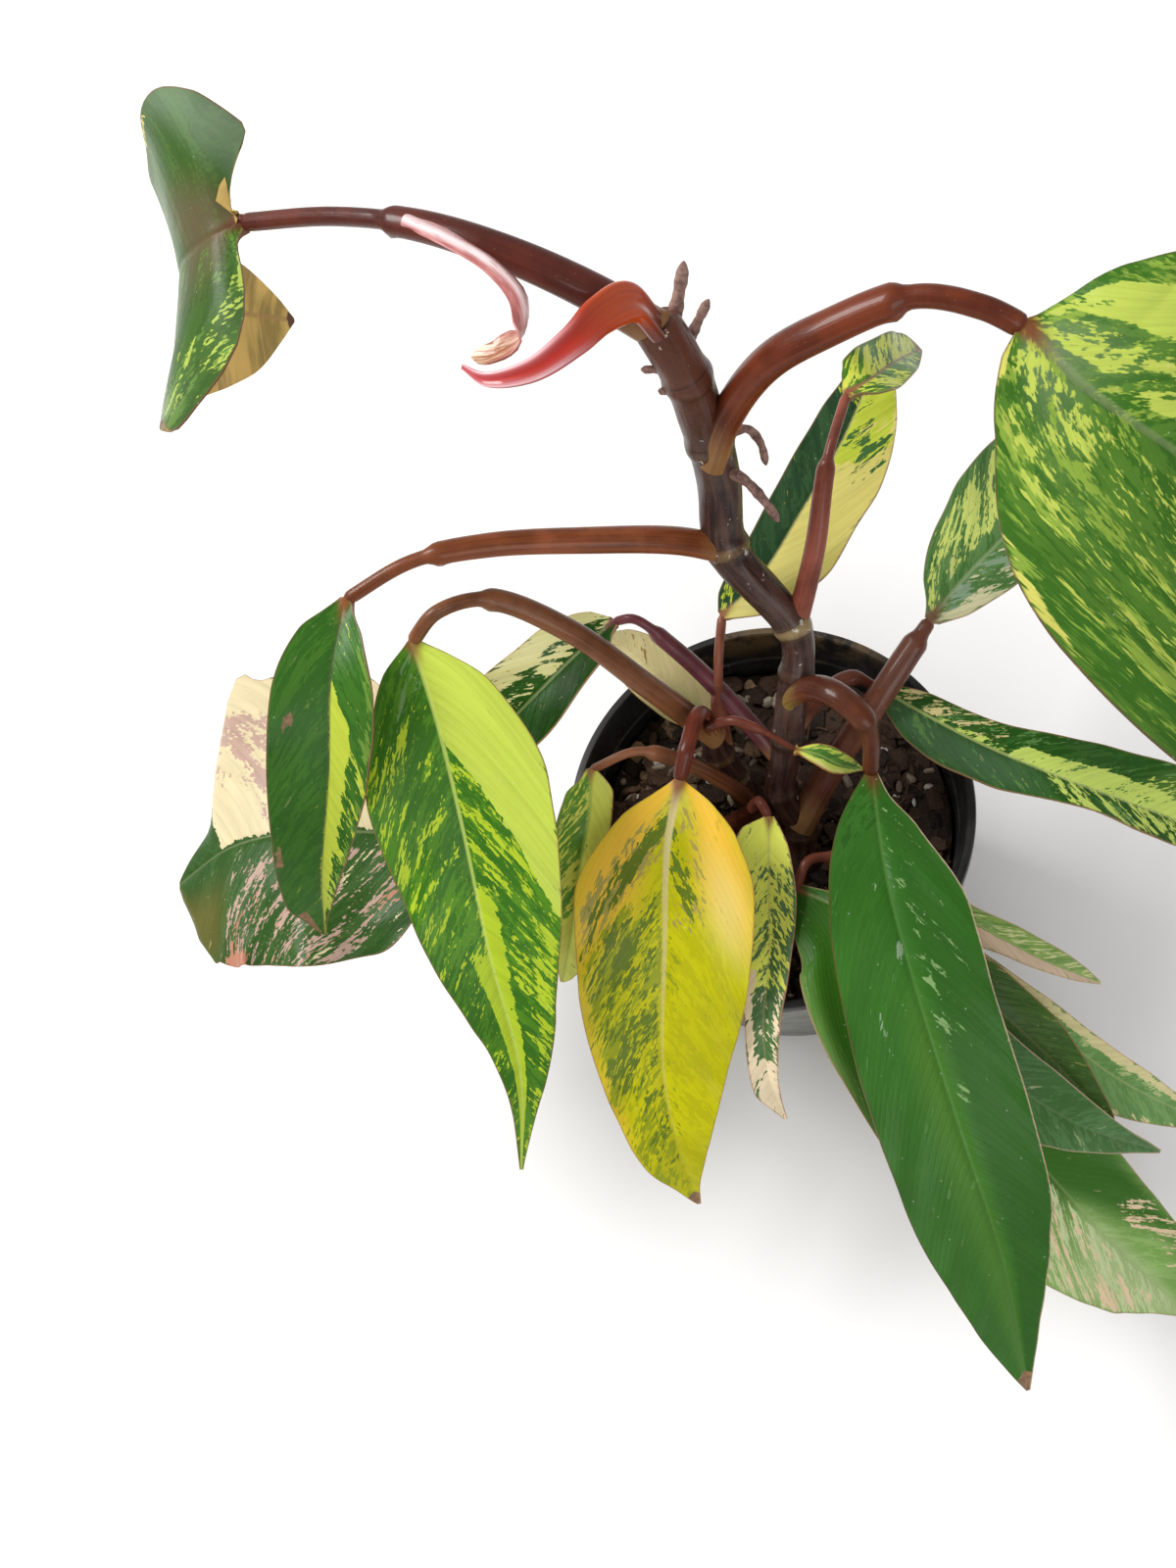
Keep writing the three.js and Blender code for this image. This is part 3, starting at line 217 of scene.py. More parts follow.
# Each leaf. stalk and rib: the routes of both, one running into the other. sheath and thin: the stalk's
# width at its base and above its sheath. ligule: the share of the stalk that the sheath covers.
# side: the direction of the blade's right half at base and tip. left and right: the half widths at STATIONS.
# lift and curl: degrees by which the halves rise, and turn further up on the way out, from base to tip.
# wave: the margin's height, number of waves and start. lobe: how far the margins reach back past the base.
# bulges and notches: side, place, spread and size.
LEAVES = {
    "top_left": {
        "stalk": (
            (-8, 68, 238), (-22, 72, 250), (-38, 78, 258), (-58, 88, 260), (-81, 99, 256),
            (-108, 109, 249),
        ),
        "sheath": 9.5, "thin": 5.2, "ligule": 0.6,
        "rib": (
            (-108, 109, 249), (-116, 106, 249), (-129, 109, 240), (-139, 118, 219), (-137, 128, 199),
            (-125, 134, 185),
        ),
        "side": ((0, -0.9, -0.35), (0, -0.9, -0.35)), "left": (20, 31, 38, 31, 24, 16, 7),
        "right": (4.5, 38, 43, 39, 26, 17, 7), "lift": (10, 5, 5), "curl": (10, 10, 10),
        "wave": (0.8, 2, 0), "lobe": (16, 0), "notches": ((-1, 0.012, 0.01, 8.5),),
        "bulges": ((1, 0.14, 0.045, 9),),
    },
    "top_right": {
        "stalk": (
            (-1, 58, 201), (6, 60, 218), (16, 60, 233), (28, 59, 242), (47, 58, 250), (60, 53, 250),
            (68, 49, 247),
        ),
        "sheath": 11, "thin": 6, "ligule": 0.72,
        "rib": (
            (68, 49, 247), (77, 34, 247), (90, 21, 244), (113, 9, 230), (143, 3, 201), (178, 0, 160),
        ),
        "side": ((0.3, 0.9, 0.1), (0.3, 0.9, 0.1)), "left": (8, 18, 45, 57, 52, 36, 16),
        "right": (22, 34, 46, 50, 44, 26, 10), "curl": (0, -6, -6), "wave": (1.2, 2.5, 0), "lobe": (3, 3),
        "bulges": ((-1, 0.3, 0.16, 5),),
    },
    "left_green": {
        "stalk": (
            (0, 47, 174), (-13, 46, 184), (-34, 43, 194), (-58, 40, 202), (-77, 36, 205), (-95, 29, 202),
        ),
        "sheath": 8.2, "thin": 4.3, "ligule": 0.76,
        "rib": ((-95, 29, 202), (-99, 10, 199), (-104, -11, 185), (-114, -31, 162), (-121, -41, 141)),
        "side": ((1, 0, -0.1), (1, 0, -0.2)), "left": (5, 10, 14.5, 15.5, 13, 10, 4),
        "right": (3.5, 7.5, 12.5, 11, 7.5, 3.2, 1), "lift": (16, 14, 8), "wave": (0.6, 3, 0),
    },
    "lime": {
        "stalk": (
            (-12, 16, 124), (-27, 20, 155), (-43, 27, 177), (-61, 31, 191), (-73, 26, 196),
            (-81, 21, 191),
        ),
        "sheath": 8, "thin": 4.6, "ligule": 0.78,
        "rib": (
            (-81, 21, 191), (-76, 1, 183), (-73, -23, 168), (-71, -50, 149), (-69, -77, 123),
            (-76, -101, 93),
        ),
        "side": ((1, 0.1, -0.1), (1, 0.1, -0.15)), "left": (10, 15.5, 22.5, 18, 10, 3, 1.2),
        "right": (8.5, 16.5, 25, 22, 13.5, 4.2, 1.6), "lift": (8, 6, 8), "wave": (0.8, 3, 0.3),
    },
    "yellow": {
        "stalk": ((-12, 16, 125), (-14, 15, 144), (-17, 4, 148), (-20, -4, 143)), "sheath": 5.6,
        "thin": 5, "ligule": 0.8,
        "rib": (
            (-20, -4, 143), (-24, -21, 141), (-27, -48, 131), (-31, -76, 112), (-30, -96, 94),
            (-27, -110, 76),
        ),
        "side": ((1, 0, -0.1), (1, 0.1, -0.1)), "left": (6.5, 14, 24.5, 23, 17, 11, 4),
        "right": (10.5, 18, 24, 22.5, 17, 7.5, 2), "lift": (6, 4, 6), "wave": (0.6, 3, 0.1),
    },
    "front_green": {
        "stalk": (
            (11, 18, 134), (13, 19, 142), (19, 17, 149), (25, 12, 152), (31, 5, 149), (31, -3, 135),
        ),
        "sheath": 9, "thin": 5.4, "ligule": 0.68,
        "rib": (
            (31, -3, 135), (33, -36, 142), (38, -63, 137), (46, -95, 122), (55, -127, 98),
            (60, -159, 69),
        ),
        "side": ((1, 0.1, -0.15), (1, 0.25, -0.2)), "left": (6, 11, 18, 21, 20, 12, 4.8),
        "right": (3.8, 10, 18.5, 18.5, 17, 7.5, 2.8), "lift": (10, 8, 6), "wave": (0.8, 3, 0.5),
    },
    "mosaic": {
        "stalk": ((-3, 4, 92), (-3, -2, 112), (0, -5, 124), (2, -9, 122)), "sheath": 5, "thin": 3.4,
        "ligule": 0.6,
        "rib": (
            (2, -9, 122), (1, -27, 120), (0, -47, 119), (-3, -67, 113), (-3, -79, 103), (0, -88, 88),
        ),
        "side": ((1, 0, -0.1), (1, 0.1, 0.2)), "left": (8, 10, 10.5, 9, 5, 5, 2),
        "right": (3.5, 5.6, 7.6, 6, 4.5, 2.2, 0.9), "lift": (10, 4, 10), "wave": (0.8, 2, 0.2),
    },
    "low_left": {
        "stalk": ((-5, 7, 92), (-12, 5, 118), (-20, 6, 131), (-32, 6, 142), (-45, 2, 141)), "sheath": 6,
        "thin": 3, "ligule": 0.75,
        "rib": ((-45, 2, 141), (-46, -10, 139), (-51, -24, 130), (-57, -40, 115), (-63, -48, 99)),
        "side": ((1, 0, 0), (1, 0, 0)), "left": (3.2, 7, 8.7, 8.4, 6, 3.1, 1.3),
        "right": (4.2, 6.7, 6.7, 6, 6.2, 5.4, 3), "wave": (0.5, 2, 0),
    },
    "back_left": {
        "stalk": ((7, 8, 120), (-9, 25, 136), (-20, 33, 150), (-29, 38, 159), (-35, 39, 157)),
        "sheath": 6.2, "thin": 3.2, "ligule": 0.8,
        "rib": ((-35, 39, 157), (-45, 30, 158), (-60, 19, 153), (-80, 8, 140), (-96, 1, 124)),
        "side": ((0.7, -0.7, 0), (0.7, -0.7, 0)), "left": (7, 10, 13.5, 14.3, 12, 6, 2.5),
        "right": (3, 7, 9.5, 11.4, 11, 6, 2.5), "wave": (0.8, 2, 0),
    },
    "pale_back": {
        "stalk": ((-10, 13, 108), (-14, 19, 116), (-14, 22, 120)), "sheath": 4, "thin": 3, "ligule": 0.6,
        "rib": ((-14, 22, 120), (-24, 32, 126), (-35, 43, 128), (-45, 54, 122)),
        "side": ((0.7, 0.7, 0), (0.7, 0.7, 0)), "left": (3, 6, 8.5, 9, 8, 5, 2),
        "right": (3, 6, 8.5, 9, 8, 5, 2), "lift": (6, 4, 4), "wave": (0.5, 2, 0),
    },
    "back_yellow": {
        "stalk": ((-11, 17, 112), (-10, 21, 130), (-8, 30, 145), (-6, 41, 150)), "sheath": 6, "thin": 3.2,
        "ligule": 0.5, "rib": ((-6, 41, 150), (5, 50, 153), (18, 69, 155), (30, 90, 154), (45, 129, 146)),
        "side": ((-0.8, 0.5, 0), (-0.8, 0.5, 0)), "left": (5.2, 10, 16.5, 17, 13.5, 7, 3),
        "right": (5.6, 7.7, 9.2, 10.3, 9.6, 6, 2.5), "wave": (0.6, 2, 0),
    },
    "back_small": {
        "stalk": ((13, 31, 152), (21, 46, 172), (26, 63, 186), (32, 80, 189)), "sheath": 6.4, "thin": 3.2,
        "ligule": 0.72, "rib": ((32, 80, 189), (37, 83, 189), (44, 95, 179), (54, 118, 154)),
        "side": ((-0.4, 0.8, 0), (-0.4, 0.8, 0)), "left": (2, 5.4, 6.7, 6, 5, 2.6, 1.4),
        "right": (6, 8.3, 9, 8.5, 8, 6.8, 4), "wave": (0.6, 2, 0),
    },
    "back_right": {
        "stalk": ((9, -4, 98), (20, 8, 113), (35, 22, 129), (50, 39, 139)), "sheath": 9.4, "thin": 5,
        "ligule": 0.92,
        "rib": ((50, 39, 139), (60, 48, 145), (73, 60, 147), (88, 80, 142), (103, 101, 132)),
        "side": ((-0.6, 0.5, 0), (-0.6, 0.5, 0.1)), "left": (4.6, 8, 12, 14, 13, 8, 3),
        "right": (4, 9, 16, 20, 19, 10, 4), "wave": (0.8, 2, 0),
    },
    "right_wavy": {
        "stalk": ((9, 13, 126), (18, 24, 127), (28, 30, 126), (35, 27, 123)), "sheath": 6, "thin": 3.6,
        "ligule": 0.8,
        "rib": (
            (35, 27, 123), (49, 17, 122), (61, 9, 121), (81, -1, 117), (100, -7, 108), (130, -15, 90),
            (158, -22, 66),
        ),
        "side": ((0.1, 1, 0), (0.1, 1, 0)), "left": (5.5, 9.8, 13.2, 9.6, 7.4, 6, 3),
        "right": (4, 6.3, 8, 14, 15, 8, 3), "wave": (1.5, 3.5, 0.2), "bulges": ((-1, 0.37, 0.11, -4),),
    },
    "far_left": {
        "stalk": ((-3, 5, 88), (-18, -10, 110), (-42, -22, 117), (-62, -22, 123), (-84, -12, 133)),
        "sheath": 7, "thin": 4.2, "ligule": 0.75,
        "rib": ((-84, -12, 133), (-110, -10, 136), (-134, -9, 138), (-156, -11, 134), (-175, -19, 127)),
        "side": ((0, -1, 0), (0.33, -1.03, 0.12)), "left": (8, 16, 40, 54, 55.5, 11, 4),
        "right": (8, 20, 34, 41, 37.5, 36.5, 29), "lift": (10, 6, 4), "curl": (-10, -20, -20),
        "wave": (3, 2.5, 0.1),
        "bulges": ((-1, 0.745, 0.042, 21), (1, 0.16, 0.09, 5), (1, 0.975, 0.02, 6)),
    },
    "tiny": {
        "stalk": ((-13, 17, 125), (-11, 13, 139), (-5, 12, 144), (3, 9, 142), (11, 6, 134)),
        "sheath": 3.6, "thin": 2, "ligule": 0.7,
        "rib": ((11, 6, 134), (17, 4, 134), (23, 2, 130), (29, 3, 123)),
        "side": ((0.2, 1, 0), (0.2, 1, 0)), "left": (0.8, 1.4, 2.8, 3.5, 2.4, 1.2, 0.7),
        "right": (0.8, 1.5, 3.1, 4, 3.6, 1.9, 0.8), "lift": (6, 6, 4), "wave": (0, 1, 0),
    },
    "right_point": {
        "stalk": ((32, -16, 97), (36, -19, 111), (38, -25, 118), (38, -30, 117)), "sheath": 4.6,
        "thin": 2.8, "ligule": 0.6,
        "rib": ((38, -30, 117), (57, -42, 115), (72, -48, 102), (91, -51, 78)),
        "side": ((0.5, 0.8, 0), (0.5, 0.8, 0)), "left": (3, 5, 5.6, 4, 3, 2, 1),
        "right": (3.4, 4, 4, 5, 4.6, 2.8, 1.2), "wave": (0.4, 2, 0),
    },
    "right_cream": {
        "stalk": ((33, -19, 91), (38, -27, 103), (41, -35, 110), (41, -41, 111)), "sheath": 4.8,
        "thin": 3, "ligule": 0.6, "rib": ((41, -41, 111), (66, -61, 103), (91, -78, 81), (122, -89, 48)),
        "side": ((0.5, 0.8, 0), (0.5, 0.8, 0)), "left": (5, 9, 13, 13.5, 9.5, 5, 2),
        "right": (3, 5, 5.6, 6.4, 6.2, 3.6, 1.6), "wave": (0.6, 2, 0),
    },
    "right_olive": {
        "stalk": ((34, -18, 95), (34, -27, 110), (37, -39, 121), (41, -48, 122)), "sheath": 4.6,
        "thin": 2.8, "ligule": 0.6,
        "rib": ((41, -48, 122), (57, -63, 117), (73, -77, 103), (89, -92, 83)),
        "side": ((0.6, 0.6, 0), (0.6, 0.6, 0)), "left": (4, 7, 9, 9, 7, 4, 2),
        "right": (4, 7, 9, 9, 7, 4, 2), "wave": (0.5, 2, 0),
    },
    "right_dark": {
        "stalk": ((33, -18, 98), (29, -28, 118), (30, -44, 130), (36, -55, 127)), "sheath": 4.6,
        "thin": 2.8, "ligule": 0.6,
        "rib": ((36, -55, 127), (55, -79, 119), (75, -92, 103), (101, -98, 76)),
        "side": ((0.6, 0.6, 0), (0.6, 0.6, 0)), "left": (5, 9, 11.5, 11, 7.5, 3.4, 1.5),
        "right": (4, 7, 9.6, 9.4, 7, 3, 1.4), "wave": (0.5, 2, 0),
    },
    "under_front": {
        "stalk": ((31, -20, 94), (22, -19, 110), (12, -21, 117), (8, -28, 114)), "sheath": 5, "thin": 3.4,
        "ligule": 0.6,
        "rib": (
            (8, -28, 114), (24, -39, 117), (37, -63, 110), (61, -91, 82), (85, -116, 51),
            (113, -141, 18),
        ),
        "side": ((0.6, 0.6, 0), (0.7, 0.6, 0)), "left": (14, 21, 27, 31, 26, 16, 5),
        "right": (3, 5, 8, 12, 19, 17, 7), "wave": (1, 3, 0.4),
    },
}

# Colours and shares that a leaf has where its own entry in LOOKS gives none
COPPER = (0.36, 0.22, 0.12)
PLAIN_LOOK = {
    "lean": ((VEIN_LEAN, VEIN_CURVE), (VEIN_LEAN, VEIN_CURVE)), "shorter": 1, "finer": 1, "soft": 1,
    "washes": (), "rib_share": (0.75, 0.6), "scars": (), "alike": False,
    "under": COPPER, "under_green": 0.55, "under_rib": (0.34, 0.13, 0.07),
    "stalk": ((0.2, 0.06, 0.03), (0.14, 0.035, 0.02)),
}

# Each leaf's colours. slot: the colour slot it takes. ground: the two greens of its mottled ground.
# washes: soft colours over wide areas, some of them painted sheen, highlight and shade as marked at the
# leaf.
# tints: three colours laid over it as flecks along the side veins; one without a patch shows now and then.
# patches: number of the tint, from and to along the blade, from and to across it, and how much of that area
# the tint covers. scars: like patches, but brown.
# rib: colour and half width at base and tip. rib_share: how strongly it shows at both. margin: the edge's
# colour, and right_margin where the right edge differs. lean: how far the side veins lean and bend, left
# and right. shorter, finer and soft: how many times shorter, narrower and blurrier its flecks are.
# under, under_green and under_rib: the underside's colour, share of green and rib. alike: it has the
# upper face's skin. stalk: upper and lower colour, the lower one darker as painted shade on the underside,
# then the sheath's edge, partly a painted highlight, and foot where they differ.
LOOKS = {
    "top_left": {
        "slot": "leaf_green", "ground": ((0.034, 0.092, 0.01), (0.052, 0.13, 0.016)),
        "lean": ((0.3, 0.2), (0.1, 0.1)), "shorter": 0.4, "soft": 1.4,
        "washes": (
            # the first wash, pale grey-green on the left half near the base, is a painted sheen
            ((0.34, 0.42, 0.32), (-0.8, -0.04, -1.1, -0.5, 0.4)),
            ((0.12, 0.085, 0.045), (-0.1, 0.22, -0.4, 0.2, 0.8)),
        ),
        "tints": ((0.36, 0.46, 0.07), (0.1, 0.2, 0.03), (0.66, 0.52, 0.14)),
        "patches": (
            (1, -0.3, 0.8, 0.5, 1, 0.345), (2, -0.5, 1, 0, 1, 0.3), (3, 0, 0.12, -1, -0.93, 0.8),
        ),
        "rib": ((0.14, 0.1, 0.05), 0.8, 0.4), "rib_share": (0.4, 0.2), "margin": (0.2, 0.09, 0.05),
        "under": (0.6, 0.4, 0.115), "under_green": 0.12, "under_rib": (0.42, 0.26, 0.09),
        "scars": ((0.97, 1.1, -1, 1, 0.6),),
        "stalk": ((0.11, 0.022, 0.012), (0.075, 0.015, 0.01), (0.34, 0.12, 0.11)),
    },
    "top_right": {
        "slot": "leaf_green", "ground": ((0.04, 0.13, 0.012), (0.08, 0.19, 0.022)), "finer": 0.62,
        "soft": 2, "washes": (((0.17, 0.23, 0.12), (-0.4, 0.1, -0.5, 0.3, 0.7)),),
        "tints": ((0.22, 0.34, 0.045), (0.43, 0.52, 0.085), (0.58, 0.56, 0.12)),
        "patches": (
            (1, -0.2, 1, -1, 1, 0.36), (2, -0.05, 0.9, -0.85, -0.1, 0.37),
            (2, 0.14, 0.8, -1, -0.6, 0.44), (2, -0.2, 0.5, 0.42, 0.75, 0.8),
            (2, 0, 0.35, 0.1, 0.36, 0.55), (2, 0.35, 1, 0.1, 0.9, 0.3), (3, -0.3, 0.03, -1, -0.86, 0.8),
        ),
        "rib": ((0.2, 0.24, 0.12), 1.2, 0.4), "rib_share": (0.5, 0.2), "margin": (0.13, 0.06, 0.04),
        "under": (0.18, 0.14, 0.126),
        "stalk": ((0.17, 0.034, 0.01), (0.1, 0.018, 0.006), (0.42, 0.13, 0.09)),
    },
    "left_green": {
        "slot": "leaf_dark_green", "ground": ((0.03, 0.115, 0.012), (0.048, 0.15, 0.016)),
        "tints": ((0.44, 0.52, 0.05), (0.13, 0.24, 0.035), (0.5, 0.4, 0.2)),
        "patches": (
            (1, 0.06, 0.3, 0.04, 0.7, 0.2), (1, (0.2, 0.3), 1.1, 0, 0.46, 1.1),
            (1, 0.34, 1.1, 0.42, 1, 0.42), (2, 0.05, 0.8, 0.75, 1, 0.5),
        ),
        "rib": ((0.075, 0.1, 0.04), 0.5, 0.25), "margin": (0.24, 0.1, 0.07),
        "scars": (
            (0.22, 0.27, -0.8, -0.6, 0.55), (0.45, 0.49, -0.5, -0.38, 0.5),
            (0.58, 0.66, -1, -0.82, 0.65), (0.86, 1, -1, -0.5, 0.6),
        ),
        "stalk": ((0.25, 0.07, 0.028), (0.17, 0.045, 0.012), (0.5, 0.16, 0.1)),
    },
    "lime": {
        "slot": "leaf_lime", "ground": ((0.04, 0.15, 0.01), (0.085, 0.235, 0.014)),
        # the third tint, bluish green near the base of the left half, is a painted sheen
        "tints": ((0.4, 0.53, 0.025), (0.48, 0.59, 0.075), (0.13, 0.25, 0.08)),
        "patches": (
            (3, -0.2, 0.12, -0.6, -0.02, 0.34), (1, -0.1, 0.12, -1, 0, 0.2),
            (1, 0.1, 0.4, -1, -0.45, 0.39), (1, 0.16, 0.4, -0.5, -0.1, 0.3), (1, 0.4, 0.58, -1, 0, 0.33),
            (1, 0.55, 1.1, -1, -0.4, 0.25), (1, 0.52, 1.1, -0.3, 0, 0.9), (1, 0.1, 0.42, 0, 1, 0.38),
            (1, 0.42, 1.1, 0, 0.22, 0.92), (1, 0.42, 1.1, 0.3, 0.6, 0.36), (1, 0.42, 1.1, 0.6, 1, 0.52),
            (2, -0.6, (0.16, 0.4), 0, 1, 1.3),
        ),
        "rib": ((0.52, 0.64, 0.14), 0.6, 0.3), "margin": (0.22, 0.1, 0.04), "under": (0.42, 0.42, 0.12),
        "scars": ((0.95, 1.1, -1, 1, 0.4),), "stalk": ((0.22, 0.085, 0.034), (0.14, 0.05, 0.02)),
    },
    "yellow": {
        "slot": "leaf_yellow", "ground": ((0.44, 0.43, 0.002), (0.52, 0.5, 0.003)), "shorter": 1.6,
        "washes": (
            ((0.78, 0.47, 0.045), (-0.4, 0.24, -1, -0.3, 0.95), (-0.4, 0.22, 0.4, 1, 0.95),
             (0.1, 0.75, -1.05, -0.9, 0.8)),
            # the second wash, pale yellow, is a painted highlight on the right half near the base and pale
            # colour around the rib at the base
            ((0.72, 0.63, 0.22), (0.1, 0.26, 0.5, 0.9, 0.6), (-0.3, 0.04, -0.3, 0.3, 0.6)),
        ),
        "tints": ((0.27, 0.31, 0.008), (0.36, 0.3, 0.07), (0.115, 0.17, 0.014)),
        "patches": (
            (1, 0.22, 0.9, -0.95, -0.03, 0.56), (1, 0.3, 0.8, 0, 0.2, 0.22),
            (1, 0.82, 1, -0.7, 0.1, 0.35), (2, (0.13, 0.02), (0.28, 0.15), -0.95, -0.04, 0.55),
            (2, 0.04, 0.3, 0.04, 0.45, 0.36), (3, (0.14, 0.05), (0.24, 0.13), -0.88, -0.06, 0.56),
            (3, (0.08, 0.2), (0.19, 0.31), 0.05, 0.36, 0.52), (3, 0.24, 0.62, -0.92, -0.06, 0.47),
            (3, 0.62, 0.86, -0.6, -0.04, 0.36),
        ),
        "rib": ((0.6, 0.51, 0.25), 1.2, 0.2), "rib_share": (0.95, -0.1), "margin": (0.3, 0.15, 0.05),
        "under": (0.5, 0.38, 0.1), "scars": ((0.96, 1.1, -1, 1, 0.8),),
        "stalk": ((0.17, 0.032, 0.014), (0.1, 0.02, 0.01)),
    },
    "front_green": {
        "slot": "leaf_dark_green", "ground": ((0.036, 0.142, 0.016), (0.042, 0.156, 0.019)),
        "washes": (
            # the first wash darkens the right half: painted shade
            ((0.016, 0.08, 0.006), (-0.5, 1.2, 0.14, 1.3, 0.65)),
            ((0.085, 0.21, 0.025), (0.35, 1, -0.3, 0.05, 0.55)),
        ),
        "tints": ((0.2, 0.33, 0.12), (0.22, 0.33, 0.19), (0.026, 0.105, 0.011)),
        "patches": (
            (1, 0.06, 0.5, 0.12, 0.75, 0.31), (1, 0.14, 0.4, 0.22, 0.52, 0.45),
            (2, 0.165, 0.19, -0.34, -0.2, 0.75), (2, 0.25, 0.285, -0.14, -0.02, 0.6),
            (2, 0.32, 0.38, -0.62, -0.48, 0.62), (3, -0.3, 1.2, 0.25, 1, 0.62),
            (3, -0.3, 0.1, -0.9, 1, 0.45),
        ),
        "rib": ((0.1, 0.22, 0.05), 0.5, 0.3), "rib_share": (0.5, 0.25), "margin": (0.1, 0.07, 0.02),
        "right_margin": (0.55, 0.38, 0.27), "under": (0.34, 0.22, 0.13),
        "scars": ((0.96, 1.1, -1, 1, 0.7),),
        "stalk": ((0.12, 0.034, 0.014), (0.075, 0.02, 0.009), (0.42, 0.15, 0.1), (0.36, 0.27, 0.06)),
    },
    "mosaic": {
        "slot": "leaf_mosaic", "ground": ((0.075, 0.16, 0.05), (0.12, 0.22, 0.085)),
        "lean": ((1, 0.5), (1, 0.5)), "shorter": 2.4, "finer": 1.3,
        "tints": ((0.74, 0.8, 0.12), (0.82, 0.68, 0.46), (0.12, 0.26, 0.03)),
        "patches": (
            (1, -0.4, 0.3, -1, 1, 0.64), (1, -0.4, 0.12, -1, 1, 0.9), (1, 0.25, 0.52, -1, 0.1, 0.62),
            (1, 0.25, 0.52, 0.1, 1, 0.46), (2, 0.44, 1.2, -1, -0.35, 0.8), (2, 0.5, 1.2, 0.6, 1, 0.62),
            (2, 0.5, 0.82, -0.5, 0.6, 0.32), (2, 0.74, 1.2, -1, 1, 0.82),
        ),
        "rib": ((0.45, 0.45, 0.16), 0.4, 0.2), "rib_share": (0.5, 0.2), "margin": (0.45, 0.2, 0.14),
        "stalk": ((0.2, 0.05, 0.03), (0.14, 0.035, 0.02)),
    },
    "low_left": {
        "slot": "leaf_lime", "ground": ((0.09, 0.22, 0.03), (0.14, 0.3, 0.04)),
        "tints": ((0.55, 0.58, 0.1), (0.6, 0.62, 0.15), (0.2, 0.3, 0.1)),
        "patches": ((1, -0.4, 0.7, -1, 0, 0.45), (1, -0.4, 1.2, 0, 1, 0.9), (1, 0.6, 1.2, -1, 1, 0.95)),
        "rib": ((0.3, 0.4, 0.08), 0.7, 0.3), "margin": (0.34, 0.16, 0.07),
        "stalk": ((0.25, 0.1, 0.045), (0.2, 0.07, 0.03)),
    },
    "back_left": {
        "slot": "leaf_dark_green", "ground": ((0.012, 0.058, 0.004), (0.022, 0.085, 0.01)),
        "tints": ((0.6, 0.58, 0.26), (0.1, 0.2, 0.05), (0.5, 0.5, 0.2)),
        "patches": ((1, -0.4, 1.2, -1, -0.5, 0.82), (1, -0.4, 1.2, -0.55, -0.06, 0.5)),
        "rib": ((0.2, 0.25, 0.1), 0.6, 0.3), "margin": (0.5, 0.3, 0.15),
        "stalk": ((0.15, 0.04, 0.05), (0.1, 0.025, 0.03)),
    },
    "pale_back": {
        "slot": "leaf_cream", "ground": ((0.7, 0.62, 0.3), (0.76, 0.68, 0.34)), "alike": True,
        "washes": (((0.34, 0.42, 0.14), (-0.2, 0.25, -1, 0.3, 0.5)),),
        "tints": ((0.34, 0.2, 0.08), (0.24, 0.32, 0.1), (0.5, 0.5, 0.2)),
        "patches": ((1, -0.3, 1.1, -1, 1, 0.16), (2, -0.2, 0.2, -1, -0.3, 0.36)),
        "rib": ((0.5, 0.4, 0.2), 0.4, 0.2), "rib_share": (0.4, 0.2), "margin": (0.36, 0.18, 0.09),
        "stalk": ((0.13, 0.03, 0.036), (0.09, 0.02, 0.022)),
    },
    "back_yellow": {
        "slot": "leaf_yellow", "ground": ((0.018, 0.055, 0.02), (0.032, 0.085, 0.03)),
        "tints": ((0.6, 0.54, 0.15), (0.44, 0.52, 0.045), (0.045, 0.12, 0.03)),
        "patches": (
            (1, -0.6, 1.3, -1, 0, 1.3), (2, 0.5, 1.3, -1, 0, 0.75), (2, -0.6, 0.12, 0, 1, 0.45),
            (2, 0.72, 1.3, 0, 1, 0.45), (3, 0.42, 0.56, -0.95, -0.4, 0.55),
            (3, 0.56, 0.95, -0.5, -0.05, 0.42),
        ),
        "rib": ((0.3, 0.3, 0.12), 0.4, 0.3), "margin": (0.3, 0.16, 0.09),
        "stalk": ((0.26, 0.09, 0.05), (0.17, 0.05, 0.028)),
    },
    "back_small": {
        "slot": "leaf_lime", "ground": ((0.045, 0.15, 0.015), (0.1, 0.25, 0.025)),
        "tints": ((0.62, 0.68, 0.09), (0.05, 0.15, 0.015), (0.3, 0.4, 0.1)),
        "patches": (
            (1, -0.5, 1.2, 0.2, 1, 0.62), (1, 0.15, 1.2, 0, 0.5, 0.72), (1, -0.5, 1.2, -1, 0, 0.42),
            (2, -0.5, 0.6, 0.1, 0.8, 0.3),
        ),
        "rib": ((0.3, 0.18, 0.1), 0.6, 0.3), "margin": (0.35, 0.2, 0.1),
        "scars": ((0.9, 1.2, -1, 1, 0.6),),
        # the pale pink-white of its sheath edges is a painted highlight
        "stalk": ((0.3, 0.085, 0.055), (0.2, 0.05, 0.03), (0.72, 0.44, 0.36)),
    },
    "back_right": {
        "slot": "leaf_mosaic", "ground": ((0.075, 0.19, 0.045), (0.13, 0.27, 0.08)),
        "tints": ((0.62, 0.72, 0.18), (0.66, 0.64, 0.38), (0.24, 0.36, 0.22)),
        "patches": (
            (1, 0.02, 0.6, 0.2, 0.9, 0.5), (3, -0.3, 0.4, -0.6, 0, 0.4), (2, -0.3, 1, -1, -0.4, 0.55),
            (2, -0.1, 0.5, -0.5, -0.1, 0.3),
        ),
        "rib": ((0.3, 0.4, 0.2), 0.6, 0.3), "margin": (0.4, 0.26, 0.16),
        "stalk": ((0.17, 0.06, 0.035), (0.14, 0.05, 0.03)),
    },
    "right_wavy": {
        "slot": "leaf_green", "ground": ((0.02, 0.08, 0.01), (0.036, 0.115, 0.018)),
        "washes": (
            ((0.075, 0.15, 0.075), (-0.2, 0.32, -0.9, -0.1, 0.6)),
